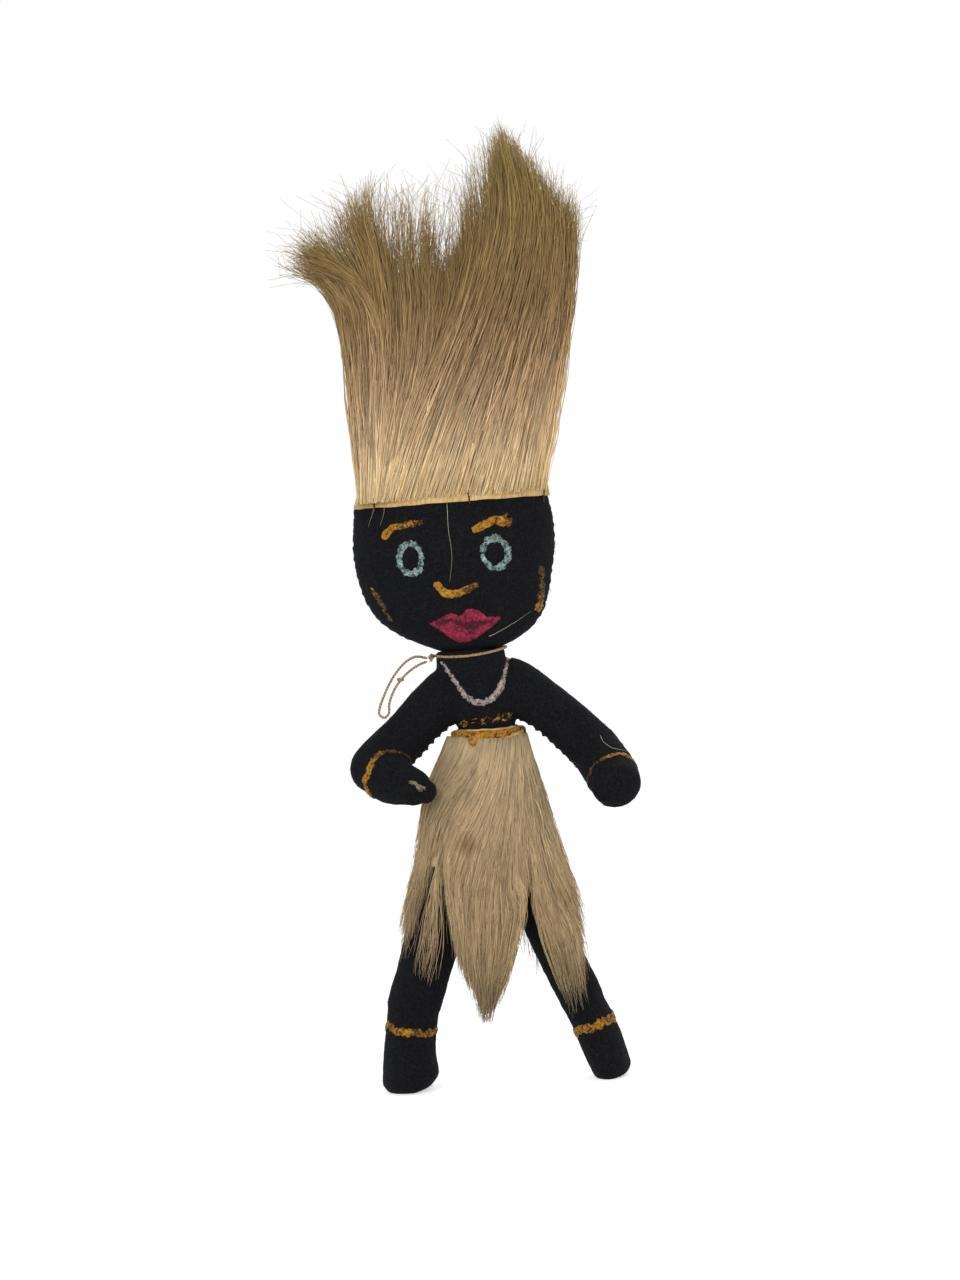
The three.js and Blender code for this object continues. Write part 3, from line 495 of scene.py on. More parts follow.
RIGHT_LEG = [
    (-6.4, 0, 74.5, 5.6, 6.0), (-8.8, 0, 62.2, 6.6, 6.8), (-14.6, 0, 44.1, 7.0, 7.0),
    (-22.9, 0, 21.5, 6.6, 6.8),
]
LEFT_LEG = [
    (6.9, 0, 74.5, 4.9, 5.7), (8.2, 0, 61.8, 6.0, 6.3), (11, 0, 42, 5.9, 6.4), (19.1, 0, 20, 5.5, 6.2),
]
RIGHT_FOOT = [(-22.9, 0, 21.5, 6.4, 6.6), (-24.7, -0.6, 11, 6.6, 7.8), (-25.0, -1.4, 2.9, 7.1, 9.4)]
LEFT_FOOT = [(19.1, 0, 20, 5.3, 6.0), (22.8, -0.6, 10.5, 5.4, 7.4), (25.2, -1.4, 2.9, 5.0, 9.0)]


def slice_at(slices, z):
    """Centre x, half width and half depth at heights, on smooth curves through a form's slices."""
    table = np.array(slices, float)
    slopes = np.gradient(table[:, 1:], table[:, 0], axis=0)
    z = np.asarray(z, float)
    index = np.clip(np.searchsorted(table[:, 0], z) - 1, 0, len(table) - 2)
    span = table[index + 1, 0] - table[index, 0]
    first, leave, last, arrive = hermite(np.clip((z - table[index, 0]) / span, 0, 1)[..., None])
    span = span[..., None]
    return (first * table[index, 1:] + leave * slopes[index] * span
            + last * table[index + 1, 1:] + arrive * slopes[index + 1] * span)


def loft(slices, levels, sides):
    """Level rings of points through a form's slices."""
    sizes = slice_at(slices, levels)
    angle = turns_round(sides)
    x = sizes[:, :1] + sizes[:, 1:2] * np.cos(angle)
    y = sizes[:, 2:3] * np.sin(angle)
    return np.stack([x, y, np.repeat(np.asarray(levels)[:, None], sides, 1)], axis=-1).reshape(-1, 3)


def closed_limb(rows, end_round, rings=46):
    """A limb's points and faces: oval rings along its path, a rounded end, and a fan over each end."""
    sides = 40
    path = smooth_path(rows, rings)
    tangent, normal, across = frames_along(path[:, :3])
    loops = [(path[i, :3], normal[i], across[i], path[i, 3], path[i, 4]) for i in range(rings)]
    for turn in (14, 28, 42, 55, 67, 77, 85):
        angle = math.radians(turn)
        shrink = end_round * (1 - math.cos(angle))
        at = path[-1, :3] + tangent[-1] * end_round * math.sin(angle)
        loops.append((at, normal[-1], across[-1], path[-1, 3] - shrink, path[-1, 4] - shrink))
    angle = turns_round(sides)
    points = [at + np.outer(wide * np.cos(angle), side) + np.outer(deep * np.sin(angle), front)
              for at, front, side, wide, deep in loops]
    return with_caps(np.vstack(points), ring_faces(len(loops), sides), sides)


def remeshed(solids, voxel):
    """One skin round several closed forms, as points and quads."""
    points, faces, start = [], [], 0
    for solid_points, solid_faces in solids:
        points.append(solid_points)
        faces += [tuple(index + start for index in face) for face in solid_faces]
        start += len(solid_points)
    mesh = bpy.data.meshes.new("scratch")
    mesh.from_pydata(np.vstack(points).tolist(), [], faces)
    scratch = bpy.data.objects.new("scratch", mesh)
    bpy.context.scene.collection.objects.link(scratch)
    skin = scratch.modifiers.new("skin", "REMESH")
    skin.mode, skin.voxel_size = "VOXEL", voxel
    even = scratch.modifiers.new("even", "SMOOTH")
    even.factor, even.iterations = 0.5, SMOOTHING
    made = bpy.data.meshes.new_from_object(scratch.evaluated_get(bpy.context.evaluated_depsgraph_get()))
    co = np.zeros(len(made.vertices) * 3, np.float32)
    made.vertices.foreach_get("co", co)
    quads = np.zeros(len(made.loops), np.int32)
    made.loops.foreach_get("vertex_index", quads)
    bpy.data.objects.remove(scratch)
    bpy.data.meshes.remove(made)
    return co.reshape(-1, 3).astype(float), quads.reshape(-1, 4)


def part_of(points, faces, chosen):
    """The faces that are chosen, with only the points that they use."""
    faces = faces[chosen]
    used, numbered = np.unique(faces, return_inverse=True)
    return points[used], numbered.reshape(faces.shape)


def ridge(points, seam, width, height):
    """How far a whip-stitched seam stands out: a ridge that the stitches pull in at even steps."""
    along = lengths_along(seam)
    out = np.zeros(len(points))
    for start in range(0, len(points), BATCH):
        gaps = np.linalg.norm(points[start:start + BATCH, None] - seam[None], axis=2)
        nearest = gaps.argmin(1)
        distance = gaps[np.arange(len(nearest)), nearest]
        wave = 0.5 - 0.5 * np.cos(TAU * along[nearest] / STITCH)
        out[start:start + BATCH] = height * np.exp(-(distance / width) ** 2) * (wave * 1.3 - 0.45)
    return out


def seam_along(rows, direction, steps=160):
    """A line along a limb's surface, on the side that a direction points to."""
    path = smooth_path(rows, steps)
    tangent = unit(np.gradient(path[:, :3], axis=0))
    direction = np.array(direction, float)
    side = unit(direction - (tangent @ direction)[:, None] * tangent)
    return path[:, :3] + side * path[:, 3:4]


def tree_of(points, faces):
    return BVHTree.FromPolygons(points.tolist(), faces.tolist())


def seat(tree, points, lift=0.0):
    """Places moved onto a surface, and out from it."""
    seated = []
    for place in points:
        at, normal, _, _ = tree.find_nearest(Vector(place))
        seated.append(np.array(at) + lift * np.array(normal))
    return np.array(seated)


# ---- Strands: hairs, fibres and threads as real tubes

def tubes(name, paths, radius, finish, tone=None, rng=None, taper=1.0, sides=3):
    """Tubes along paths, an array of tubes by steps by three. The taper is a share for each step."""
    rng = rng or np.random.default_rng(1)
    count, steps, _ = paths.shape
    tangent = unit(np.gradient(paths, axis=1))
    spin = unit(rng.normal(size=(count, 1, 3)))
    side = unit(np.cross(tangent, spin))
    other = np.cross(tangent, side)
    share = np.linspace(0, 1, steps)
    thick = (np.broadcast_to(np.asarray(radius, float), (count,))[:, None] * taper)[:, :, None, None]
    angle = turns_round(sides)
    ring = np.cos(angle)[:, None] * side[:, :, None, :] + np.sin(angle)[:, None] * other[:, :, None, :]
    points = (paths[:, :, None, :] + thick * ring).reshape(-1, 3)
    base = ring_faces(steps, sides)
    triangles = np.vstack([base[:, [0, 1, 2]], base[:, [0, 2, 3]]])
    fan = np.array([(0, k + 1, k) for k in range(1, sides - 1)])
    last = (steps - 1) * sides
    triangles = np.vstack([triangles, fan, last + fan[:, ::-1]])
    faces = (triangles[None] + (np.arange(count) * steps * sides)[:, None, None]).reshape(-1, 3)
    tone = np.full(count, 0.5) if tone is None else tone
    return mesh_object(name, points, faces, finish, {
        "tone": np.repeat(tone, steps * sides),
        "along": np.tile(np.repeat(share, sides), count),
    })


FIBRE_LENGTH = (0.25, 0.7)
FIBRE_RADIUS = 0.034


def fuzz(name, points, faces, density, seed):
    """Short fibres that stand up from a felt surface."""
    rng = np.random.default_rng(seed)
    corners = points[faces]
    first = np.cross(corners[:, 1] - corners[:, 0], corners[:, 2] - corners[:, 0])
    area = np.linalg.norm(first, axis=1)
    count = int(area.sum() * density)
    chosen = rng.choice(len(faces), count, p=area / area.sum())
    share = rng.random((count, 2, 1))
    corner = corners[chosen]
    low = corner[:, 0] + (corner[:, 1] - corner[:, 0]) * share[:, 0]
    high = corner[:, 3] + (corner[:, 2] - corner[:, 3]) * share[:, 0]
    root = low + (high - low) * share[:, 1]
    normal = unit(np.cross(corner[:, 1] - corner[:, 0], corner[:, 3] - corner[:, 0]))
    lean = unit(np.cross(normal, rng.normal(size=(count, 3))))
    curl = unit(np.cross(normal, rng.normal(size=(count, 3))))
    size = rng.uniform(*FIBRE_LENGTH, (count, 1)) * rng.choice([1.0, 1.0, 1.0, 1.0, 1.0, 1.9], (count, 1))
    t = np.linspace(0, 1, 4)[None, :, None]
    rise = rng.uniform(0.15, 0.75, (count, 1, 1))
    paths = (root - 0.12 * normal)[:, None] + size[:, None] * (
        t * rise * normal[:, None] + t * lean[:, None] * 0.8 + t**2 * curl[:, None] * 0.5)
    paths[:, :, 2] = np.maximum(paths[:, :, 2], 0.05)
    return tubes(name, paths, FIBRE_RADIUS, FUZZ, rng.random(count) ** 2, rng, taper=np.linspace(1, 0.5, 4))


def stitches(name, seam, tree, pitch=STITCH, reach=1.1, radius=0.15, lift=0.14):
    """Whip stitches over a seam: one slanting arc of thread at each pull."""
    along = lengths_along(seam)
    paths = []
    for at in np.arange(pitch, along[-1] - pitch / 2, pitch):
        centre, ahead = rows_at(at, along, seam), rows_at(at + 0.5, along, seam)
        direction = unit(ahead - centre)
        _, normal, _, _ = tree.find_nearest(Vector(centre))
        across = unit(np.cross(np.array(normal), direction))
        row = []
        for share in np.linspace(-1, 1, 9):
            place = Vector(centre + across * reach * share + direction * SLANT * share)
            hit, out, _, _ = tree.find_nearest(place)
            row.append(np.array(hit) + np.array(out) * (lift * (1 - share**4) - 0.1 * share**8))
        paths.append(row)
    return tubes(name, np.array(paths), radius, BLACK_THREAD, sides=6)


STRING_RADIUS = 0.35
STRING_TWIST = 1.5  # along the string for each turn of its plies
STRING_STEPS = 5  # for each millimetre


def twisted(path):
    """The ways of two plies twisted round a path, and the line that they follow."""
    path = np.asarray(path, float)
    length = np.linalg.norm(np.diff(path, axis=0), axis=1).sum()
    count = int(length * STRING_STEPS) + 2
    line = smooth_path(path, count)
    _, normal, across = frames_along(line, facing=(0.13, -0.4, 0.9))
    angle = TAU * np.linspace(0, length, count) / STRING_TWIST
    made = []
    for start in (0, math.pi):
        turn = (angle + start)[:, None]
        made.append(line + 0.5 * STRING_RADIUS * (np.cos(turn) * normal + np.sin(turn) * across))
    return np.array(made), line


# ---- Felt skins

VOXEL, LEG_VOXEL = 0.5, 0.6
ARM_SEAM_START, LEG_SEAM_START = 18, 12  # the steps of a seam before these lie inside the torso
SEAM_WIDTH = 1.3


def sewn_part(name, skin, chosen, seam, motion, replaced, density, seed):
    """A part of a felt skin with its fibres, and the stitches of its stretch of the seam."""
    points, faces, tree = skin
    part_points, part_faces = part_of(points, faces, chosen)
    felt = attach(mesh_object(f"{name}_felt", part_points, part_faces, FELT), motion, "felt", replaced)
    attach(fuzz(f"{name}_felt_fuzz", part_points, part_faces, density, seed), motion, "felt")
    attach(stitches(f"{name}_stitches", seam, tree), motion)


def push(points, faces, amounts):
    """Points moved out of their surface, each by its own amount."""
    return points + point_normals(points, faces) * amounts[:, None]


torso_levels = np.concatenate([np.linspace(71.82, 78, 14), np.linspace(78.6, 109.1, 60)])
torso_solid = with_caps(loft(TORSO, torso_levels, 56), ring_faces(len(torso_levels), 56), 56)
body_points, body_faces = remeshed([
    torso_solid, closed_limb(RIGHT_ARM, 6.5), closed_limb(LEFT_ARM, 6.5),
    closed_limb(RIGHT_HAND, 3.8), closed_limb(LEFT_HAND, 4.8), closed_limb(RIGHT_FINGERS, 2.6, rings=12),
], VOXEL)
arm_seams = {
    "right": seam_along(RIGHT_ARM + RIGHT_HAND[1:], (0.5, 0.25, -1)),
    "left": seam_along(LEFT_ARM + LEFT_HAND[1:], (-0.5, 0.25, -1)),
}
raised = lumps(body_points)
for seam in arm_seams.values():
    raised += ridge(body_points, seam[ARM_SEAM_START:], SEAM_WIDTH, 0.8)
body_points = push(body_points, body_faces, raised)
body_tree = tree_of(body_points, body_faces)

MIDDLE_X = -1.2  # the body's skin is divided here, one half for each arm
FLANK_X = 12  # what is nearer the middle than this, below the arm, is the torso's side
BEND = 4.0  # how far to each side of a wrist or ankle lie the two places given with a part's motion
ARM_CUT = {"right": ((-18.2, -0.5, 90.6), (-0.73, -0.1, -0.68)),
           "left": ((17.9, -0.5, 91.6), (0.69, -0.1, -0.72))}
SHOULDER_BEND = {"right": ((-6, 0, 96), (-12.8, 0, 97.7)), "left": ((5, 0, 97), (11.8, 0, 98.7))}
WRIST = {"right": (-27.8, -2, 81.6), "left": (27.4, -2, 81.6)}
WRIST_ACROSS = {"right": (-0.05, -0.59, -0.81), "left": (0.53, -0.48, -0.70)}


def beyond(points, cut):
    """Which points lie past a cut: a place, and the direction through it."""
    place, direction = cut
    return (points - np.array(place)) @ np.array(direction) > 0


body_middles = body_points[body_faces].mean(1)
wrist_motion = {}
for side, sign in SIDES.items():
    across, wrist = np.array(WRIST_ACROSS[side]), np.array(WRIST[side])
    wrist_motion[side] = (f"{side}_arm", f"{side}_hand", wrist - BEND * across, wrist + BEND * across)
    on_side = sign * (body_middles[:, 0] - MIDDLE_X) > 0
    far = on_side & beyond(body_middles, ARM_CUT[side]) & (sign * body_middles[:, 0] > FLANK_X)
    replaced = [f"{side}_arm_felt", f"{side}_arm_stuffing"]
    if side == "right":
        replaced += ["torso_felt", "torso_stuffing"]
    seam = arm_seams[side]
    near = ~beyond(seam, ARM_CUT[side])
    shown = near & (np.arange(len(seam)) >= ARM_SEAM_START)
    body = body_points, body_faces, body_tree
    sewn_part(f"{side}_shoulder", body, on_side & ~far, seam[shown],
              ("torso", f"{side}_arm", *SHOULDER_BEND[side]), replaced, 0.75, 11 + sign)
    sewn_part(f"{side}_forearm", body, far, seam[~near], wrist_motion[side],
              [f"{side}_hand_felt", f"{side}_hand_stuffing"], 1.1, 21 + sign)

# Legs and feet
LEGS = {"right": (RIGHT_LEG, RIGHT_FOOT, 6.6), "left": (LEFT_LEG, LEFT_FOOT, 5.5)}
KNEE = {"right": ((-14.6, 0, 44.1), (-0.34, 0, -0.94)), "left": ((11, 0, 42), (0.28, 0, -0.96))}
HIP_X = {"right": -5.8, "left": 7.0}
leg_trees = {}
for side, (leg, foot, leg_round) in LEGS.items():
    points, faces = remeshed([closed_limb(leg, leg_round), closed_limb(foot, 3.4)], LEG_VOXEL)
    seam = seam_along(leg + foot[1:], (0.15, 1, 0), 200)
    points = push(points, faces, lumps(points) + ridge(points, seam, SEAM_WIDTH, 0.5))
    if side == "right":  # the inner edge of this sole stands off the floor
        inner = np.clip((points[:, 0] + 25) / 7, 0, 1) ** 1.5 * np.clip((9 - points[:, 2]) / 9, 0, 1)
        points[:, 2] += 2.4 * inner
    points[:, 2] = np.maximum(points[:, 2], 0)
    leg_trees[side] = tree_of(points, faces)
    direction, ankle = unit(np.array(KNEE[side][1])), np.array(foot[0][:3])
    far = beyond(points[faces].mean(1), KNEE[side])
    near = ~beyond(seam, KNEE[side])
    shown = near & (np.arange(len(seam)) >= LEG_SEAM_START)
    skin = points, faces, leg_trees[side]
    sewn_part(f"{side}_thigh", skin, ~far, seam[shown],
              ("torso", f"{side}_leg", (HIP_X[side], 0, 81), (HIP_X[side], 0, 70)),
              [f"{side}_leg_felt", f"{side}_leg_stuffing"], 0.5, 31)
    sewn_part(f"{side}_shin", skin, far, seam[~near],
              (f"{side}_leg", f"{side}_foot", ankle - BEND * direction, ankle + BEND * direction),
              [f"{side}_foot_felt", f"{side}_foot_stuffing"], 0.9, 33)

# Head: a flat cushion of two panels, sewn together down its sides and under its chin
head_levels = np.concatenate([np.linspace(108.7, 113, 16), np.linspace(113.6, 147, 62)])
HEAD_SIDES = 150
head_quads = ring_faces(len(head_levels), HEAD_SIDES)
head_points, head_faces = with_caps(loft(HEAD, head_levels, HEAD_SIDES), head_quads, HEAD_SIDES)
seam_levels = np.linspace(112.5, 146.5, 120)
sizes = slice_at(HEAD, seam_levels)
head_seams = {side: np.column_stack([sizes[:, 0] + sign * sizes[:, 1], 0 * seam_levels, seam_levels])
              for side, sign in SIDES.items()}
raised = lumps(head_points, 11.0, 0.4, 0.1)
for seam in head_seams.values():
    raised += ridge(head_points, seam, 1.2, 0.14)
head_points += point_normals(head_points, head_quads) * raised[:, None]
head_tree = tree_of(head_points[:-2], head_quads)
head = attach(mesh_object("head_felt", head_points, head_faces, FELT), "head", "felt",
              ["head_front_felt", "head_back_felt", "head_stuffing"])
attach(fuzz("head_felt_fuzz", head_points, head_quads, 0.8, 41), "head", "felt")
for side, seam in head_seams.items():
    attach(stitches(f"head_{side}_stitches", seam, head_tree, 2.9, 0.9, 0.08, lift=0.03), "head")

# Neck roll
roll = closed_limb([(NECK_X, 0, z, 6, 6) for z in (99, 104, 109)], 5.6, rings=20)
attach(mesh_object("neck_roll_felt", *roll, FELT), "neck", "felt", ["neck_roll"])


# ---- Paint

def flat_path(rows, count):
    """A smooth path through places in the plane of the picture."""
    rows = np.asarray(rows, float)
    return smooth_path(np.column_stack([rows[:, 0], np.zeros(len(rows)), rows[:, 1]]), count)[:, [0, 2]]


def inside_strokes(x, z, strokes, rough, seed, scale=1.1):
    """How far each place lies inside some brush strokes, with ragged edges, in millimetres."""
    best = np.full(x.shape, -9.0)
    for line, width in strokes:
        line = flat_path(line, 50)
        width = np.interp(np.linspace(0, 1, 50), np.linspace(0, 1, np.size(width)), np.atleast_1d(width))
        gaps = np.hypot(x[..., None] - line[:, 0], z[..., None] - line[:, 1]) - width / 2
        best = np.maximum(best, -gaps.min(-1))
    return best + ragged(x, z, rough, seed, scale)


def ragged(x, z, rough, seed, scale=1.1):
    """Unevenness of a painted edge: slow swells, and the crumbs of a dry brush."""
    return rough * grain(x, z, seed, scale) + 0.55 * rough * grain(x, z, seed + 40, 0.36)


def inside_outline(x, z, outline, rough, seed):
    """How far each place lies inside a closed outline, with ragged edges, in millimetres."""
    ring = flat_path([*outline, outline[0]], 120)
    gaps = np.hypot(x[..., None] - ring[:, 0], z[..., None] - ring[:, 1]).min(-1)
    within = np.zeros(x.shape, bool)
    for (ax, az), (bx, bz) in zip(ring, ring[1:]):
        crosses = (az > z) != (bz > z)
        within ^= crosses & (x < ax + (bx - ax) * (z - az) / (bz - az if bz != az else 1))
    return np.where(within, gaps, -gaps) + ragged(x, z, rough, seed)


def grain(x, z, seed, scale):
    """Noise from -1 to 1 over a grid of places."""
    flat = [noise.noise(Vector((a / scale, b / scale, seed * 7.3))) + 0.5 * noise.noise(
        Vector((a / scale * 2.7, b / scale * 2.7, seed * 3.1))) for a, b in zip(x.ravel(), z.ravel())]
    return np.array(flat).reshape(x.shape)


def paint_patch(name, base, out, inside, tree, thickness, finish, motion, replaced=(), wrap=False, wear=0.0,
                slot=None):
    """A raised skin of paint on a surface, over the grid's cells that lie inside its strokes."""
    rows, columns = inside.shape
    crumbs = grain(base[..., 0] + 0.7 * base[..., 1], base[..., 2] - 0.7 * base[..., 1], 5, 0.42)
    wear = np.clip(wear + 0.0 * inside, 0, 1)
    worn = 0.5 - 0.75 * crumbs - 0.55 * wear + np.clip(inside, 0, 0.6)
    inside = np.minimum(inside, np.where(worn > 0, 9, 2 * worn + 0.05))
    height = np.where(inside > 0, thickness * (1 - np.exp(-inside / 0.28)) * (1 - 0.45 * wear), 1.4 * inside)
    height = height.clip(-0.6) + np.where(inside > 0.1, 0.15, 0) * crumbs
    kept = inside > -0.32
    cells = ring_faces(rows, columns).reshape(rows - 1, columns, 4)
    cells = (cells if wrap else cells[:, :-1]).reshape(-1, 4)
    cells = cells[kept.ravel()[cells].all(1)]
    used, numbered = np.unique(cells, return_inverse=True)
    seated = seat(tree, base.reshape(-1, 3)[used])
    points = seated + out.reshape(-1, 3)[used] * height.ravel()[used][:, None]
    patch = mesh_object(name, points, numbered.reshape(cells.shape), finish, {"wear": wear.ravel()[used]})
    slot = slot or finish.name.split(".")[0]  # Blender numbers a finish that has a CAD material's name
    attach(patch, motion, slot, replaced)


def front_grid(slices, box, step=0.17):
    """A grid of places on the front of a form, with the directions out of it."""
    x, z = np.meshgrid(np.arange(box[0], box[2], step), np.arange(box[1], box[3], step))
    sizes = slice_at(slices, z)
    share = np.clip((x - sizes[..., 0]) / sizes[..., 1], -0.995, 0.995)
    y = -sizes[..., 2] * np.sqrt(1 - share**2)
    base = np.stack([x, y, z], axis=-1)
    out = np.stack([share / sizes[..., 1], y / sizes[..., 2] ** 2, np.zeros_like(x)], axis=-1)
    return x, z, base, unit(out)


def face_paint(name, finish, seed, strokes, wear, thickness=0.45, rough=0.3, outline=None):
    """Paint on the face: brush strokes, or an outline that is filled in. Wear may be a function of x, z."""
    places = np.vstack([np.asarray(line, float) for line, _ in strokes])
    widest = max(np.max(width) for _, width in strokes)
    low, high = places.min(0) - widest, places.max(0) + widest
    x, z, base, out = front_grid(HEAD, (*low, *high))
    if outline:
        inside = inside_outline(x, z, outline, rough, seed)
    else:
        inside = inside_strokes(x, z, strokes, rough, seed)
    worn = wear(x, z) if callable(wear) else wear
    replaced = [name.removesuffix("_mark") + "_paint"]
    paint_patch(name, base, out, inside, head_tree, thickness, finish, "head", replaced, wear=worn)


def oval(centre, half):
    """A closed line round a centre, with half its width and half its height."""
    angle = np.linspace(0, TAU, 37)
    return np.column_stack([centre[0] + half[0] * np.cos(angle), centre[1] + half[1] * np.sin(angle)])


def fade(start, end):
    """Wear that grows from one x to another."""
    return lambda x, z: np.clip((x - start) / (end - start), 0, 1)


face_paint("right_eyebrow", YELLOW, 1, [
    ([(-21.1, 139.2), (-20.2, 140.3), (-18.6, 141.2), (-16.6, 141.3), (-13.9, 141.7), (-12.2, 141.8)],
     [1.9, 1.7, 1.5, 1.5, 1.4])], fade(-18.5, -10.5))
face_paint("left_eyebrow", YELLOW, 2, [
    ([(1.2, 139.2), (2.8, 139.8), (4.6, 140.6), (6.4, 141.1), (8.4, 140.7), (9.6, 140.5)],
     [1.9, 1.9, 2.0, 2.0, 2.6, 2.3]), ([(8.2, 141.2), (9.3, 142.4)], [1.4, 0.8])], fade(6, 15))
face_paint("right_eye_ring", MINT, 3, [
    (oval((-15.3, 133.1), (2.75, 3.75)), [1.1, 1.4, 1.8, 1.7, 1.3, 1.9, 1.1])], 0.25, 0.32, 0.42)
face_paint("left_eye_ring", MINT, 4, [
    (oval((5.8, 133.0), (3.1, 3.7)), [1.6, 1.9, 1.7, 1.2, 1.4, 1.7, 1.6])], 0.25, 0.32, 0.42)
face_paint("nose", YELLOW, 5, [
    ([(-9.1, 126.1), (-8.3, 124.9), (-7.2, 123.9), (-5, 123.7), (-2.3, 124.2), (0.3, 125.5)],
     [1.9, 2.1, 2.0, 1.7, 1.8, 1.6])], fade(-6, 4))
LIP_LINE = [(-9.2, 116.6), (-7, 117.1), (-5, 116.9), (-3.4, 115.9), (-1.6, 115.4), (0.6, 115.7), (3.2, 116.1)]
LIP_EDGE = [
    (-11.9, 116.7), (-9.1, 117.8), (-6.4, 119), (-4.2, 118.2), (-1.9, 119.7), (0.4, 119.1), (2.7, 117.5),
    (5.9, 117.1), (5.3, 116.0), (2.9, 114.2), (0.9, 112.9), (-0.6, 112.0), (-3.6, 111.3), (-6.5, 112.3),
    (-8.9, 114.4),
]


def lip_wear(x, z):
    """Dark between the lips, and thin towards one side of the lower lip."""
    line = inside_strokes(x, z, [(LIP_LINE, 0.0)], 0.0, 1)
    return 0.9 * np.exp(-(line / 0.6) ** 2) + 0.8 * np.exp(-((x + 1.6) / 2.0) ** 2 - ((z - 115.3) / 1.2) ** 2)


face_paint("mouth", LIPS, 6, [(LIP_EDGE, 1.0)], lip_wear, 0.6, 0.35, LIP_EDGE)
face_paint("right_ear_mark", YELLOW, 7, [
    ([(-25.6, 126.5), (-24.1, 123.8), (-22.7, 120.7), (-21.3, 118.2)], [1.0, 1.3, 1.2])], 0.85, 0.25, 0.4)
face_paint("left_ear_mark", YELLOW, 8, [
    ([(17.0, 128.3), (17.0, 125.1), (16.5, 121.5), (15.5, 118.2)], [1.3, 1.5, 1.8])],
    lambda x, z: np.clip((z - 117.5) / 6, 0.2, 0.8), 0.3, 0.4)

NECKLACE = ([(-10.4, 108.2), (-8.2, 104.6), (-6, 100.8), (-4, 97.8), (-0.7, 96), (2.8, 97.3), (5.6, 101.4),
             (7.2, 106.4)], [0.9, 1.0, 1.2, 1.5, 1.6, 1.7, 1.4, 1.2])
x, z, base, out = front_grid(TORSO, (-11.2, 94, 9, 107))
paint_patch("necklace", base, out, inside_strokes(x, z, [NECKLACE], 0.36, 9, 0.8), body_tree, 0.4, PALE,
            "torso", ["necklace_paint"], wear=0.1)

fleck_rng = np.random.default_rng(12)
flecks = []
for _ in range(46):
    at = fleck_rng.uniform(-6.4, 7.6)
    level = 91.7 + 0.08 * at + fleck_rng.normal(0, 0.55)
    reach = fleck_rng.uniform(0.05, 0.7)
    flecks.append(([(at, level), (at + reach, level + 0.12)], fleck_rng.uniform(0.2, 0.62)))
x, z, base, out = front_grid(TORSO, (-8, 89.6, 9, 94), 0.14)
paint_patch("waist_flecks", base, out, inside_strokes(x, z, flecks, 0.16, 10, 0.5), body_tree, 0.22, YELLOW,
            "torso", wear=0.35)


def limb_band(name, rows, start, end, tree, motion, seed, rough, wear):
    """Yellow paint round a limb between two distances along it. Wear may be a function of the places."""
    path = smooth_path(rows, 240)
    along = lengths_along(path[:, :3])
    _, normal, across = frames_along(path[:, :3])
    levels = np.arange(start - 1.5, end + 1.5, 0.18)
    table = np.column_stack([path, unit(normal), unit(across)])
    centre, half, front, side = np.split(rows_at(levels, along, table), [3, 5, 8], axis=1)
    angle = np.linspace(0, TAU, 210, endpoint=False)
    wide = np.cos(angle)[None, :, None] * side[:, None]
    deep = np.sin(angle)[None, :, None] * front[:, None]
    base = centre[:, None] + (wide * half[:, :1, None] + deep * half[:, 1:, None])
    level = levels[:, None] + 0 * angle[None, :]
    middle, reach = (start + end) / 2, (end - start) / 2
    drift = 0.4 * np.sin(angle * 2 + seed) + 0.3 * np.sin(angle * 5 + 2 * seed)
    wave = ragged(6 * np.cos(angle)[None] + 0 * level, 6 * np.sin(angle)[None] + 0.8 * level, rough, seed, 1.0)
    inside = reach - np.abs(level - middle - drift[None]) + wave
    worn = wear(base) if callable(wear) else wear
    paint_patch(name, base, wide + deep, inside, tree, 0.34, YELLOW, motion, [f"{name}_paint"], True, worn)


def left_wrist_wear(at):
    x, y = at[..., 0], at[..., 1]
    return np.clip(0.1 + 0.4 * (29.6 - x).clip(0) + 0.35 * (x - 34.8).clip(0) + (y > -6), 0, 1)


limb_band("right_bracelet", RIGHT_HAND, 3.2, 4.9, body_tree, "right_hand", 3, 0.5,
          lambda at: np.clip(0.7 - 0.18 * (-26 - at[..., 0]), 0, 0.8))
limb_band("left_bracelet", LEFT_HAND, 9.5, 10.7, body_tree, "left_hand", 4, 0.5, left_wrist_wear)
limb_band("right_anklet", RIGHT_FOOT, 5.4, 7.4, leg_trees["right"], "right_foot", 5, 0.55, 0.3)
limb_band("left_anklet", LEFT_FOOT, 6.1, 8.5, leg_trees["left"], "left_foot", 6, 0.55,
          lambda at: np.clip(0.2 + 0.04 * (at[..., 0] - 21), 0.1, 1))


# ---- Hide: the strap of the skirt with its painted edge, and the strip on the head

def round_noise(angle, scale, seed):
    """Noise from -1 to 1 round a ring, that meets itself."""
    return np.array([noise.noise(Vector((scale * math.cos(a), scale * math.sin(a), seed))) for a in angle])


def ring_round(slices, z, grow, angle):
    """A ring of points round a form, grown by so much, with a height for each angle."""
    sizes = slice_at(slices, z)
    return np.column_stack([sizes[:, 0] + (sizes[:, 1] + grow) * np.cos(angle),
                            (sizes[:, 2] + grow) * np.sin(angle), z])


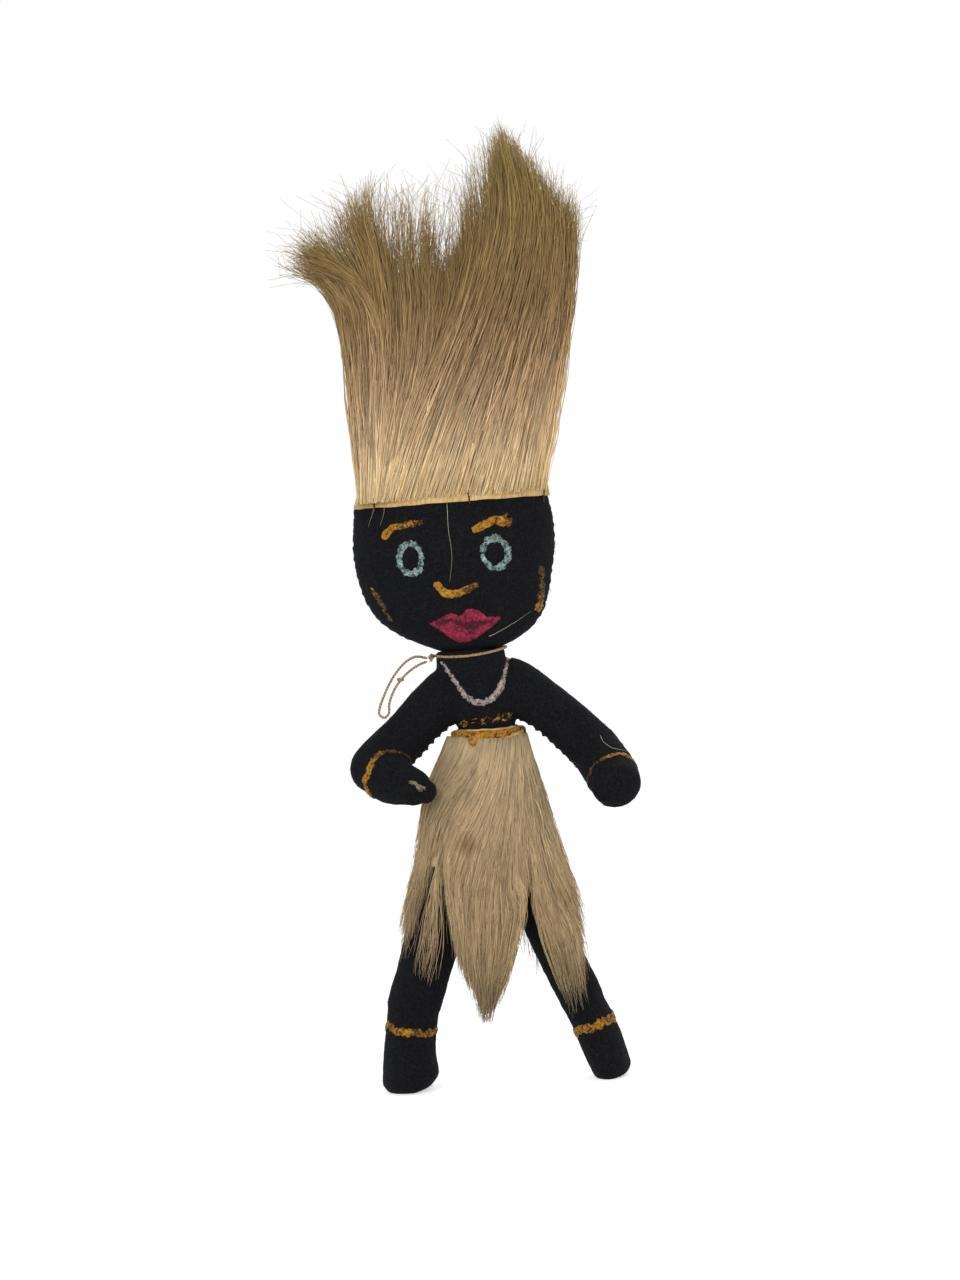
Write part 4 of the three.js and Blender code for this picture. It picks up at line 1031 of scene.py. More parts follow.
def skirt_strap():
    """The strap of hide round the waist, with uneven edges. Gives back its surface, for the paint."""
    sides, steps = 150, 16
    low, high, uneven, clear, thick = 84.6, 89.5, 0.25, 0.5, 1.6
    angle = turns_round(sides)
    lower, upper = round_noise(angle, 3, 1.0), round_noise(angle, 3, 6.0)
    rings = []
    for inner in (False, True):
        for share in (np.linspace(1, 0, steps) if inner else np.linspace(0, 1, steps)):
            z = low + uneven * lower + (high - low + uneven * (upper - lower)) * share
            bulge = 0 if inner else thick * (1 - (2 * share - 1) ** 6)
            rings.append(ring_round(TORSO, z, clear + bulge, angle))
    points = np.vstack(rings)
    quads = ring_faces(2 * steps, sides, closed=True)
    points = push(points, quads, lumps(points, 3.0, 0.12, 0.1))
    attach(mesh_object("skirt_strap", points, quads, HIDE), "torso", "hide", ["skirt_hide_strap"])
    return tree_of(points, quads)


def waistband(strap_tree):
    """The painted edge of the skirt, with a drip at its front."""
    levels = np.arange(83.2, 90.8, 0.22)[:, None]
    angle = np.linspace(0, TAU, 260, endpoint=False)
    sizes = slice_at(TORSO, levels[:, 0])
    out = np.stack(np.broadcast_arrays(np.cos(angle), np.sin(angle), 0 * levels), axis=-1)
    base = np.stack(np.broadcast_arrays(sizes[:, :1] + (sizes[:, 1:2] + 2.1) * np.cos(angle),
                                        (sizes[:, 2:] + 2.1) * np.sin(angle), levels), axis=-1)
    x, y, z = np.moveaxis(base, -1, 0)
    front = y < 0
    edge_low = np.where(front, np.interp(x, [-8.5, -4.4, -2.9, -1.2, 1.4, 5, 9],
                                         [87.6, 87.2, 84.9, 86.8, 86.7, 87.2, 88.3]), 87.2)
    edge_high = np.interp(x, [-9, -4, 3.6, 9.5], [90.4, 90.3, 90.5, 90.8])
    inside = np.minimum(z - edge_low, edge_high - z) + ragged(1.2 * x, y + z, 0.4, 12)
    drip = np.exp(-((x + 2.9) / 1.6) ** 2) * np.clip((87.6 - z) / 0.8, 0, 1) * front
    paint_patch("waistband", base, unit(out), inside, strap_tree, 0.5 + 1.3 * drip, YELLOW, "torso",
                ["waistband_paint"], True, 0.05)


waistband(skirt_strap())

# The strip that closes the head's top
STRIP = [(146.3, -4.0, 24.45, 11.15), (147.4, -3.9, 24.3, 11.1), (149.2, -3.8, 23.9, 10.8),
         (150.5, -3.7, 23.2, 10.0)]
STRIP_SIDES = 220
strip_levels = np.linspace(146.3, 150.5, 20)
strip_points = loft(STRIP, strip_levels, STRIP_SIDES)
hem = round_noise(np.tile(turns_round(STRIP_SIDES), len(strip_levels)), 4, 2.0)
strip_points[:, 2] += np.clip((149 - strip_points[:, 2]) / 2.7, 0, 1) * 0.45 * hem
strip_quads = ring_faces(len(strip_levels), STRIP_SIDES)
strip_points, strip_faces = with_caps(strip_points, strip_quads, STRIP_SIDES)
strip_points = push(strip_points, strip_quads, lumps(strip_points, 2.6, 0.2, 0.14))
attach(mesh_object("hair_hide", strip_points, strip_faces, HIDE), "head", "hide", ["hair_hide_strip"])


# ---- Fur
#
# A guide is a path that hairs follow, with the share of it where the fur is dense: the rest is tips.
# Hairs are sown between neighbouring guides, and each one runs over a part of its way.

HAIR_GUIDES = [
    ([(-27.5, 147.4), (-27.2, 162), (-27.7, 175), (-28.2, 187), (-29.9, 197), (-33.7, 203), (-39.5, 206.5),
         (-43, 210.5)], 0.93),
    ([(-26.6, 147.4), (-25.7, 162), (-25.7, 174), (-25.6, 187), (-26.3, 195.5), (-29.5, 202.5),
         (-34.6, 208.5), (-41, 213)], 0.92),
    ([(-25.6, 147.4), (-24.2, 162), (-23.9, 174), (-23.2, 187), (-23.5, 195), (-25.7, 203), (-30.2, 209.5),
         (-38.5, 219)], 0.93),
    ([(-24.3, 147.4), (-22.7, 162), (-21.8, 174), (-21.1, 186), (-21.2, 195), (-22.7, 202.5), (-25.3, 209),
         (-30.5, 222)], 0.93),
    ([(-23.6, 147.4), (-21.5, 162), (-20.2, 174), (-19.2, 186), (-19.2, 199), (-20.9, 210), (-23.3, 219),
         (-25, 228)], 0.93),
    ([(-23, 147.4), (-20.5, 161), (-18.3, 174), (-17.1, 186), (-17.1, 198.5), (-18.7, 210), (-20.5, 218.5),
         (-18.6, 232)], 0.93),
    ([(-22.4, 147.4), (-19.2, 161), (-16.5, 174), (-14.3, 186), (-13.4, 198), (-14.1, 209), (-14.1, 218),
         (-13.2, 230)], 0.74),
    ([(-21.7, 147.4), (-17.6, 161), (-13.8, 173), (-11.2, 185.5), (-10, 198), (-10.4, 209), (-9.8, 218),
         (-9.1, 230)], 0.7),
    ([(-21, 147.4), (-16.3, 161), (-11.7, 173), (-8.2, 185.5), (-6.4, 196.5), (-6.9, 206.5), (-5.9, 216),
         (-2.7, 229)], 0.66),
    ([(-20.2, 147.4), (-15.5, 161), (-10.5, 173), (-5.7, 185), (-2.9, 194), (-1.7, 203)], 1.0),
    ([(-19.3, 147.4), (-14.7, 161), (-9.3, 173), (-3.6, 185), (1.6, 196), (5.4, 205.5), (8, 215),
         (7, 235)], 0.74),
    ([(-15.8, 147.4), (-10.6, 161), (-5, 173), (0.9, 185), (6.1, 197), (10, 207.5), (12.3, 219),
         (12.2, 240)], 0.93),
    ([(-11.2, 147.4), (-5.7, 160.5), (0, 172.5), (5.5, 184.5), (10.4, 196.5), (14.3, 207), (16.6, 220),
         (14.4, 241)], 0.97),
    ([(-5.3, 147.4), (-0.3, 160), (4.9, 172), (10.1, 184), (14.7, 196), (18, 207), (20.1, 218.5),
         (17.3, 237.5)], 0.96),
    ([(1.2, 147.4), (5.8, 160), (10.4, 172), (15, 184), (19, 196), (21.7, 207), (23.2, 218),
         (21.6, 234)], 0.94),
    ([(8, 147.4), (12, 159), (16, 171), (20, 183.5), (23.3, 195.5), (25.4, 206.5), (26.3, 218),
         (26.4, 229.5)], 0.9),
    ([(14.2, 147.4), (17.1, 159), (20.3, 171), (23.6, 183), (26.4, 195), (28.5, 206), (28.9, 216.5),
         (28.9, 226)], 0.9),
    ([(19.6, 147.4), (22.1, 158.5), (24.9, 170.5), (27.6, 183), (29.9, 195), (31.3, 206), (32.2, 213.5),
         (33, 222)], 0.93),
]
HAIR_PARTING = 9  # the short guide in the hair's notch
HAIR_CURL = [
    ([(-23.5, 147.4), (-22, 162), (-20.6, 175), (-20, 188), (-22, 197.5), (-27, 203), (-33, 205.5),
         (-40, 207)], 0.9),
    ([(-22.5, 147.4), (-20.5, 162), (-18.8, 175), (-18.4, 189), (-20.4, 199), (-25, 206), (-32, 211),
         (-39.5, 216)], 0.88),
]
HAIR_LEVELS = (148.0, 238.0)  # where the hair's colours start and end
HAIR_ROOT_Z = 147.4
HAIR_REACH = (147.2, 242.0)  # no hair stands out of these heights
HAIR_CURL_REACH = -45.5  # nor further out than this


def flat_guides(guides):
    """Guides drawn in the plane of the picture."""
    return [([np.array((x, 0.0, z)) for x, z in path], dense) for path, dense in guides]


class Field:
    """The ways between neighbouring guides."""

    def __init__(self, guides, points=44):
        self.curves = np.array([smooth_path(path, points) for path, _ in guides])
        self.dense = np.array([dense for _, dense in guides])

    def sow(self, shares, at=0.5):
        """Places among the guides, as evenly apart as the guides are at one share of their way."""
        places = self.curves[:, int(at * (self.curves.shape[1] - 1))]
        apart = np.linalg.norm(np.diff(places, axis=0), axis=1) + 0.35
        edges = np.concatenate([[0], np.cumsum(apart)]) / apart.sum()
        return np.interp(shares, edges, np.arange(len(edges)))

    def ways(self, where):
        where = np.clip(where, 0, len(self.curves) - 1.001)
        index = where.astype(int)
        share = where - index
        mixed = share[:, None, None]
        ways = self.curves[index] * (1 - mixed) + self.curves[index + 1] * mixed
        return ways, self.dense[index] * (1 - share) + self.dense[index + 1] * share


def cut(ways, start, end, steps):
    """The part of each way between two shares of it, in even steps."""
    count, points, _ = ways.shape
    t = start[:, None] + (end - start)[:, None] * np.linspace(0, 1, steps)[None]
    at = np.clip(t, 0, 1) * (points - 1)
    low = np.clip(at.astype(int), 0, points - 2)
    share = (at - low)[..., None]
    rows = np.arange(count)[:, None]
    return ways[rows, low] * (1 - share) + ways[rows, low + 1] * share


def span(rng, kind, dense):
    """The share of its way where each hair starts and ends."""
    count = len(dense)
    root = rng.uniform(0, 0.02, count)
    if kind == "base":
        return root, rng.uniform(0.1, 0.36, count)
    if kind == "sweep":
        start = rng.uniform(0, 0.4, count)
        return start, start + rng.uniform(0.12, 0.3, count)
    if kind == "cover":
        start = rng.uniform(0.02, 0.78, count) * dense
        return start, np.minimum(start + rng.uniform(0.14, 0.34, count), dense * rng.uniform(0.94, 1.04, count))
    if kind == "low":
        return rng.uniform(0.35, 0.72, count), dense * rng.uniform(0.84, 1.0, count)
    if kind == "tips":
        beyond_dense = (1 - dense) * rng.random(count) ** 0.8
        return dense * rng.uniform(0.42, 0.68, count), dense * rng.uniform(0.9, 1.0, count) + beyond_dense
    return root, dense * (1.02 - 0.4 * rng.random(count) ** 1.7)


def wander(rng, paths, size):
    """Bends each hair from side to side in slow and quick waves of its own, that start at its root."""
    count = len(paths)
    along = np.cumsum(np.linalg.norm(np.diff(paths, axis=1, prepend=paths[:, :1]), axis=2), axis=1)[..., None]
    for lengths, reach in (((26, 60), 0.85), ((7, 15), 0.16)):
        turn = TAU / rng.uniform(*lengths, (count, 1, 3))
        phase = rng.random((count, 1, 3)) * TAU
        swing = rng.uniform(0.3, 1, (count, 1, 1)) * reach * size * np.array((1, 0.5, 0.12))
        paths = paths + swing * (np.sin(turn * along + phase) - np.sin(phase)) * np.clip(along / 8, 0.25, 1)
    return paths


def frizz(rng, paths, size, reach=0.45):
    """Curls the hairs' tips, each its own way."""
    count, steps, _ = paths.shape
    u = np.clip((np.linspace(0, 1, steps) - 1 + reach) / reach, 0, 1)[None, :, None]
    amount = rng.exponential(size, (count, 1, 1)).clip(0, 3.2 * size)
    way = rng.normal(size=(count, 1, 3)) * (1, 0.45, 0.5)
    back = rng.normal(size=(count, 1, 3)) * (1, 0.45, 0.5)
    return paths + amount * (way * u**2 + 0.5 * back * np.sin(2.4 * math.pi * u) * u)


HAIR_KINDS = {  # points on a hair, thinnest and thickest radius, how far it wanders and curls
    "long": (11, (0.09, 0.16), 1.0, 0.4),
    "cover": (7, (0.075, 0.145), 0.9, 0.12),
    "base": (5, (0.075, 0.14), 0.5, 0.1),
    "sweep": (6, (0.075, 0.14), 0.6, 0.1),
    "low": (8, (0.08, 0.14), 0.7, 0.3),
    "tips": (10, (0.07, 0.13), 0.9, 1.6),
}


SOWN_AT = {  # the share of its way where a kind is sown evenly
    "long": 0.5, "cover": 0.5, "base": 0.08, "sweep": 0.2, "low": 0.8, "tips": 0.6,
}


def gathered(rng, ways, centres):
    """Ways drawn together towards the middles of their clumps, more so near their tips."""
    t = np.linspace(0, 1, ways.shape[1])[None, :, None]
    pull = rng.uniform(0.0, 0.5, (len(ways), 1, 1)) * t**2
    return ways * (1 - pull) + centres * pull


def level_share(levels, z):
    """How far a height lies from one level to another."""
    return (z - levels[0]) / (levels[1] - levels[0])


def fur_piece(name, paths, kind, rng, finish, levels, fine=1.0):
    radii = np.array(HAIR_KINDS[kind][1]) * fine
    count = len(paths)
    tone = np.clip(rng.normal(0.52, 0.24, count), 0, 1)
    taper = 1 - 0.7 * np.linspace(0, 1, paths.shape[1]) ** 2
    hair = tubes(name, paths, rng.uniform(*radii, count), finish, tone, rng, taper)
    height = level_share(levels, paths[:, :, 2])
    height = np.clip(height + rng.normal(0, 0.05, (count, 1)), 0, 1)
    hair.data.attributes["along"].data.foreach_set("value", np.repeat(height.ravel(), 3).astype(np.float32))
    return hair


def head_room(x):
    """Half of the hair's depth on the head's strip."""
    half = np.clip((x + 4.3) / 24.6, -1, 1)
    return 9.3 * (1 - np.abs(half) ** 2.8) ** (1 / 2.8) + 0.5


def head_hair(name, guides, kind, count, seed, depths=(-1, 1), unruly=1.0):
    """Upright hairs between guides, in depth through the head's strip."""
    rng = np.random.default_rng(seed)
    field = Field(flat_guides(guides))
    where = field.sow(rng.random(count), SOWN_AT[kind])
    low, high = depths
    if kind in ("cover", "base"):
        deep = rng.choice([low, high], count, p=(0.6, 0.4)) * rng.uniform(0.86, 1.06, count)
    else:
        deep = low + (high - low) * rng.random(count)
        deep = np.sign(deep) * np.abs(deep) ** 0.85
    at_end = (where < 0.9) | (where > len(guides) - 1.9)
    deep = np.where(at_end, rng.uniform(low, high, count), deep)

    def laid(places, depth):
        ways, dense = field.ways(places)
        t = np.linspace(0, 1, ways.shape[1])
        spread = 1 + 0.12 * np.sin(math.pi * t) - 0.6 * t**2.2
        above = ways[:, :, 2] - HAIR_ROOT_Z
        spread = spread + 0.17 * np.exp(-(above / 3.2) ** 2) * (np.abs(depth)[:, None] > 0.85)
        ways[:, :, 1] = (depth * head_room(ways[:, 0, 0]))[:, None] * spread
        return ways, dense

    ways, dense = laid(where, deep)
    clumps = max(12, count // 16)
    centres = np.column_stack([field.sow(rng.random(clumps)), low + (high - low) * rng.random(clumps)])
    if kind in ("cover", "base"):
        centres[:, 1] = np.where(centres[:, 1] < (low + high) / 2, low, high)
    nearest = ((where[:, None] - centres[:, 0]) ** 2 * 3 + (deep[:, None] - centres[:, 1]) ** 2 * 4).argmin(1)
    ways = gathered(rng, ways, laid(centres[nearest, 0], centres[nearest, 1])[0])
    steps, _, wandering, curling = HAIR_KINDS[kind]
    start, end = span(rng, kind, dense)
    paths = wander(rng, cut(ways, start, end, steps), wandering)
    paths = frizz(rng, paths, curling * unruly)
    paths[:, :, 2] = np.clip(paths[:, :, 2], *HAIR_REACH)
    paths[:, :, 0] = np.maximum(paths[:, :, 0], HAIR_CURL_REACH)
    hair = fur_piece(name, paths, kind, rng, HEAD_HAIR, HAIR_LEVELS)
    return attach(hair, "head", "hair")


left_guides, right_guides = HAIR_GUIDES[:HAIR_PARTING + 1], HAIR_GUIDES[HAIR_PARTING:]
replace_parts(head_hair("hair_left_long", left_guides, "long", 1400, 51), "hair_fur")
head_hair("hair_left_cover", left_guides, "cover", 2100, 52)
head_hair("hair_left_base", left_guides, "base", 900, 60)
head_hair("hair_left_tips", left_guides, "tips", 1500, 53, unruly=1.3)
head_hair("hair_left_curl", HAIR_CURL, "long", 260, 54, (-1.04, -0.7))
head_hair("hair_left_curl_tips", HAIR_CURL, "tips", 420, 55, (-1.04, -0.3))
head_hair("hair_right_long", right_guides, "long", 1700, 56)
head_hair("hair_right_cover", right_guides, "cover", 2700, 57)
head_hair("hair_right_base", right_guides, "base", 1500, 61)
head_hair("hair_right_tips", right_guides, "tips", 2000, 58, unruly=0.9)
notch = [HAIR_GUIDES[HAIR_PARTING - 1], HAIR_GUIDES[HAIR_PARTING + 1]]
head_hair("hair_notch_tips", notch, "tips", 150, 59, (0.2, 0.9), 1.4)


def hair_core():
    """The dense inside of the hair, which no light comes through."""
    field = Field(flat_guides(HAIR_GUIDES))
    columns, rows = 70, 26
    ways, dense = field.ways(field.sow(np.linspace(0.02, 0.98, columns)))
    t = np.linspace(0, 1, rows) * 0.7
    paths = cut(ways, np.full(columns, 0.02), np.minimum(dense, 0.88) * 0.76, rows)
    inset = (head_room(paths[:, 0, 0]) - 1.2)[:, None].clip(0.3) * (
        1 + 0.1 * np.sin(math.pi * t) - 0.75 * (t / 0.7) ** 2.4).clip(0.06)
    front, rear = paths.copy(), paths.copy()
    front[:, :, 1], rear[:, :, 1] = -inset, inset
    rings = np.concatenate([front, rear[::-1]]).transpose(1, 0, 2)
    points, faces = with_caps(rings.reshape(-1, 3), ring_faces(rows, 2 * columns), 2 * columns)
    core = mesh_object("hair_inner", points, faces, HEAD_HAIR, {
        "tone": np.full(len(points), 0.4),
        "along": np.clip(level_share(HAIR_LEVELS, points[:, 2]), 0, 1)})
    return attach(core, "head", "hair")


hair_core()


# Skirt
def on_bell(x, z, tip_y):
    """A place on the skirt's bell as seen from the front, that leaves the bell towards its tip."""
    centre, wide, deep = slice_at(BELL, z)
    share = np.clip((x - centre) / wide, -1, 1)
    y = -deep * math.sqrt(1 - share**2)
    leave = np.clip((54 - z) / 26, 0, 1)
    return np.array((x, y * (1 - leave) + tip_y * leave, z))


def skirt_guide(tip_y, dense, *places):
    return [on_bell(x, z, tip_y) for x, z in places], dense


SKIRT_GUIDES = [
    skirt_guide(-5, 0.86, (-9.3, 88.3), (-12.2, 82.3), (-14.2, 77.8), (-16.5, 71.7), (-17.6, 65.5),
                (-18.4, 59.7), (-20.1, 54.4), (-23.6, 45), (-26.8, 31)),
    skirt_guide(-8, 0.86, (-5.7, 88), (-9.6, 80.8), (-13, 76.1), (-15.6, 70.8), (-17, 65.5), (-17.8, 59.7),
                (-19.4, 54.4), (-22.4, 45), (-25.4, 31)),
    skirt_guide(-10.5, 0.76, (-2.8, 87.7), (-6.3, 79.9), (-10.6, 75), (-14, 69.9), (-15.9, 64.6),
                (-16.9, 59.6), (-18.3, 54.3), (-21, 46), (-23.4, 37)),
    skirt_guide(-12.2, 1.0, (-2.1, 87.6), (-5.7, 79.5), (-10.1, 74.6), (-13.4, 69.4), (-15.4, 64.1),
                (-16.3, 59.2)),
    skirt_guide(-12.4, 1.0, (0.3, 87.3), (-3.1, 78.7), (-7, 73.3), (-10.9, 67.7), (-13, 62.5), (-14.3, 57.8)),
    skirt_guide(-12, 0.97, (2, 87.2), (-0.6, 78.1), (-4.6, 71.6), (-8.4, 65.2), (-10.9, 59.6),
                (-12.4, 54.7), (-12.2, 50.6), (-11.2, 42), (-10.5, 34), (-9.6, 26)),
    skirt_guide(-13, 0.98, (3.8, 87.1), (1.6, 77.5), (-1.8, 69.8), (-5.5, 63), (-7.9, 57.3), (-9.4, 52.4),
                (-9.6, 48.3), (-9, 38), (-8.4, 29), (-7.6, 22)),
    skirt_guide(-13.3, 0.98, (5.3, 87.1), (3.5, 77.1), (0.7, 69.2), (-2.2, 61.9), (-4.5, 55.4), (-6, 50.5),
                (-6.6, 46.4), (-6.8, 36), (-6.6, 27), (-6.2, 18.5)),
    skirt_guide(-13.3, 1.0, (6.5, 87.1), (5, 76.8), (3, 68.6), (0.7, 60.8), (-1.1, 54.3), (-2.2, 49.3),
                (-2.8, 45.2), (-3.8, 36), (-4.7, 27), (-5.7, 16.8)),
    skirt_guide(-13, 1.0, (7.4, 87.2), (6.3, 76.7), (4.9, 68.4), (3.4, 60.6), (2.2, 54), (1.4, 49.1),
                (1.1, 44.9), (-0.2, 36), (-2.4, 27), (-5.2, 17)),
    skirt_guide(-12.6, 0.98, (8, 87.3), (7.2, 76.6), (6.4, 68.3), (5.5, 60.5), (4.8, 53.8), (4.5, 49.7),
                (6.3, 45), (4, 37), (0.8, 28), (-4.2, 18)),
    skirt_guide(-12.2, 1.0, (8.3, 87.3), (7.7, 76.6), (7.4, 68.3), (7.3, 60.3), (7.4, 53.6), (7.8, 48.2)),
    skirt_guide(-11.8, 1.0, (8.7, 87.3), (8.5, 77.4), (8.6, 69), (9, 61.5), (9.4, 54.3), (10.1, 48.4)),
    skirt_guide(-11.5, 0.86, (8.9, 87.3), (9, 77.8), (9.5, 70.2), (10.1, 62.2), (11, 54.6), (12.1, 47.4),
                (14.6, 39), (16.8, 30), (18.4, 14)),
    skirt_guide(-10.5, 0.92, (9.2, 87.3), (9.8, 78.5), (10.6, 71.4), (11.9, 63.3), (13.2, 55.3),
                (14.6, 48.9), (17.6, 41), (19, 32), (19.6, 15.5)),
    skirt_guide(-7, 0.86, (9.6, 87.4), (10.6, 79.3), (11.9, 72.1), (13.5, 64.9), (15.1, 57.2),
                (16.6, 50.9), (18.1, 46.2), (20.4, 36), (20.8, 27)),
]
# Where round the waist each lock of the sides and back hangs, its tip and half its spread
BACK_LOCKS = [
    (334, (22.4, -6, 29), 12), (352, (23.0, -1, 33), 12), (12, (22.6, 5, 30), 12), (36,
         (19.5, 10, 27), 13), (62, (10, 13, 20), 14),
    (86, (2, 13.4, 24), 12), (110, (-8, 13.2, 21), 14), (138, (-19.5, 10.5, 27), 14), (162, (-25, 6, 31), 12),
    (184, (-26.5, 1, 35), 12), (203, (-25.8, -4, 34), 12),
]
SKIRT_LEVELS = (88.0, 14.0)  # where the skirt's colours start and end
SKIRT_REACH = (9, 88)
BELL_REACH = (10, 90)
SPLIT_X = -1.4  # the fur on each side of this is a piece of its own, named for the leg on that side
SKIRT_BEND = {side: ("torso", f"{side}_leg", (HIP_X[side], 0, 83), (HIP_X[side], 0, 65)) for side in HIP_X}


def bell_guide(turn, tip, dense):
    """A guide down the bell at one angle round the waist, and on to a tip."""
    angle = math.radians(turn)
    places = []
    for z in (87.4, 82, 74, 66, 58, 50):
        centre, wide, deep = slice_at(BELL, z)
        places.append(np.array((centre + wide * math.cos(angle), deep * math.sin(angle), z)))
    tip = np.array(tip, float)
    places.append(places[-1] * 0.45 + tip * 0.55 + np.array((0, 0, -1.5)))
    places.append(tip)
    return places, dense


def back_guides():
    """Locks round the sides and the back, with a short guide in each notch between them."""
    guides = []
    for (turn, tip, spread), following in zip(BACK_LOCKS, [*BACK_LOCKS[1:], None]):
        angle = math.radians(turn)
        along = np.array((-math.sin(angle), math.cos(angle), 0))
        tip = np.array(tip, float)
        guides += [bell_guide(turn - spread * 0.7, tip - 4 * along + (0, 0, 7), 0.88),
                   bell_guide(turn, tip, 0.94),
                   bell_guide(turn + spread * 0.7, tip + 4 * along + (0, 0, 7), 0.88)]
        if following:
            between = turn + ((following[0] - turn + 180) % 360 - 180) / 2
            guides.append((bell_guide(between, tip, 1.0)[0][:6], 1.0))
    return guides


def by_leg(x):
    """Which places go with each leg."""
    return ("right", x < SPLIT_X), ("left", x >= SPLIT_X)


def skirt_hair(guides, kind, count, seed):
    """Hanging hairs between guides, in depth through the skirt."""
    rng = np.random.default_rng(seed)
    field = Field(guides)
    where = field.sow(rng.random(count), SOWN_AT[kind])
    ways, dense = field.ways(where)
    centres = field.sow(rng.random(max(8, count // 14)))
    nearest = np.abs(where[:, None] - centres).argmin(1)
    ways = gathered(rng, ways, field.ways(centres[nearest])[0])
    if kind in ("cover", "base", "sweep"):
        inward = rng.uniform(-0.3, 0.3, count)
    else:
        inward = rng.random(count) ** 1.2 * 2.0
    middle = slice_at(BELL, np.clip(ways[:, :, 2], *BELL_REACH))
    out = unit(np.stack([ways[:, :, 0] - middle[..., 0], ways[:, :, 1] * 1.4, 0 * ways[:, :, 0]], axis=-1))
    ways = ways - out * inward[:, None, None]
    steps, _, wandering, curling = HAIR_KINDS[kind]
    start, end = span(rng, kind, dense)
    paths = wander(rng, cut(ways, start, end, steps), 1.05 * wandering)
    paths = frizz(rng, paths, 0.4 * curling, 0.6)
    low = slice_at(BELL, np.clip(paths[:, :, 2], *BELL_REACH))
    reach = np.hypot((paths[:, :, 0] - low[..., 0]) / low[..., 1], paths[:, :, 1] / low[..., 2])
    swell = np.maximum(1, 0.8 / np.maximum(reach, 0.2))[..., None]
    swell = np.where(paths[:, :, 2:] > 50, swell, 1)
    paths[:, :, :2] = low[..., :1] * (1, 0) + (paths[:, :, :2] - low[..., :1] * (1, 0)) * swell
    paths[:, :, 2] = np.clip(paths[:, :, 2], *SKIRT_REACH)
    return paths


def skirt_piece(name, guides, kind, count, seed):
    """The hairs of one kind as two pieces, one for each leg."""
    paths = skirt_hair(guides, kind, count, seed)
    made = []
    for side, chosen in by_leg(paths[:, paths.shape[1] // 3, 0]):
        if not chosen.any():
            continue
        rng = np.random.default_rng(seed + 100)
        hair = fur_piece(f"{name}_{side}", paths[chosen], kind, rng, SKIRT_HAIR, SKIRT_LEVELS, 0.82)
        made.append(attach(hair, SKIRT_BEND[side], "hair"))
    return made


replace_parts(skirt_piece("skirt_front_long", SKIRT_GUIDES, "long", 2000, 61)[0], "skirt_fur")
skirt_piece("skirt_front_cover", SKIRT_GUIDES, "cover", 4600, 62)
skirt_piece("skirt_front_base", SKIRT_GUIDES, "base", 1900, 67)
skirt_piece("skirt_front_sweep", SKIRT_GUIDES[:9], "sweep", 1900, 72)
skirt_piece("skirt_front_low", SKIRT_GUIDES[5:11], "low", 1100, 74)
skirt_piece("skirt_front_tips", SKIRT_GUIDES, "tips", 800, 63)
round_guides = back_guides()
skirt_piece("skirt_back_long", round_guides, "long", 1900, 64)
skirt_piece("skirt_back_cover", round_guides, "cover", 2600, 65)
skirt_piece("skirt_back_base", round_guides, "base", 1100, 68)
skirt_piece("skirt_back_tips", round_guides, "tips", 600, 66)
GAPS = [
    [skirt_guide(-9.5, 1.0, (-13.9, 59), (-15.9, 52), (-18.2, 45), (-20.6, 38), (-22.6, 30)),
     skirt_guide(-11.5, 1.0, (-13.6, 59), (-15.3, 52), (-15.7, 44), (-16, 36), (-18.4, 26))],
    [skirt_guide(-11.8, 1.0, (9.6, 54), (9.8, 47), (10.5, 40), (12.4, 32), (14.6, 24)),
     skirt_guide(-11.8, 1.0, (9.8, 54), (10.4, 47), (12.6, 38), (15.2, 28), (17.6, 17))],
]
for place, guides in enumerate(GAPS):
    skirt_piece(f"skirt_gap_{place}", guides, "long", 60, 70 + place)


def skirt_hide():
    """The hide that the skirt's hair grows from, in two halves, one on the side of each leg."""
    sides, steps, top, bottom = 120, 22, 87, 57
    levels = np.linspace(top, bottom, steps)
    angle = turns_round(sides)
    hem = 2.2 * round_noise(angle, 2, 4.0)
    rings = []
    for inner in (0, 1):
        for z in (levels[::-1] if inner else levels):
            down = (top - z) / (top - bottom)
            rings.append(ring_round(BELL, z + hem * down, -0.4 - 0.7 * min(1, 4 * down) - 0.9 * inner, angle))
    points = np.vstack(rings)
    quads = ring_faces(2 * steps, sides, closed=True)
    for side, chosen in by_leg(points[quads].mean(1)[:, 0]):
        part_points, part_faces = part_of(points, quads, chosen)
        half = mesh_object(f"skirt_hide_{side}", part_points, part_faces, SKIRT_HAIR, {
            "tone": np.full(len(part_points), 0.5),
            "along": np.clip(level_share(SKIRT_LEVELS, part_points[:, 2]), 0, 1)})
        attach(half, SKIRT_BEND[side], "hide")


skirt_hide()


# ---- String

LOOP = [
    (-13.2, -2.6, 107.9), (-13.9, -3, 108.2), (-16, -4.8, 108.6), (-18.5, -6.6, 107.5),
    (-20.9, -7.8, 105.2), (-22.9, -8.4, 102.4), (-24.5, -8.7, 99.4), (-25.6, -8.8, 96.9), (-25.9, -8.9, 95.2),
    (-24.7, -8.9, 94.2), (-23.5, -8.9, 95.2), (-23.3, -8.8, 97.2), (-22.3, -8.5, 99.9),
    (-20.6, -8, 102.5), (-18.1, -7, 104.9), (-15.6, -5.6, 106.4), (-13.9, -4.2, 107), (-13.3, -3.7, 107.1),
]


def string_piece(name, path, replaced=()):
    """Two plies of string along a path, and the line that they follow."""
    plies, line = twisted(path)
    piece = tubes(name, plies, 0.2, STRING, rng=np.random.default_rng(5), sides=8)
    return attach(piece, "torso", "string", replaced), line


def knot(size):
    """The line of a small knot round the origin."""
    t = np.linspace(0, TAU, 40)
    return size * np.column_stack([
        np.sin(t) + 2 * np.sin(2 * t), np.cos(t) - 2 * np.cos(2 * t), -np.sin(3 * t)])


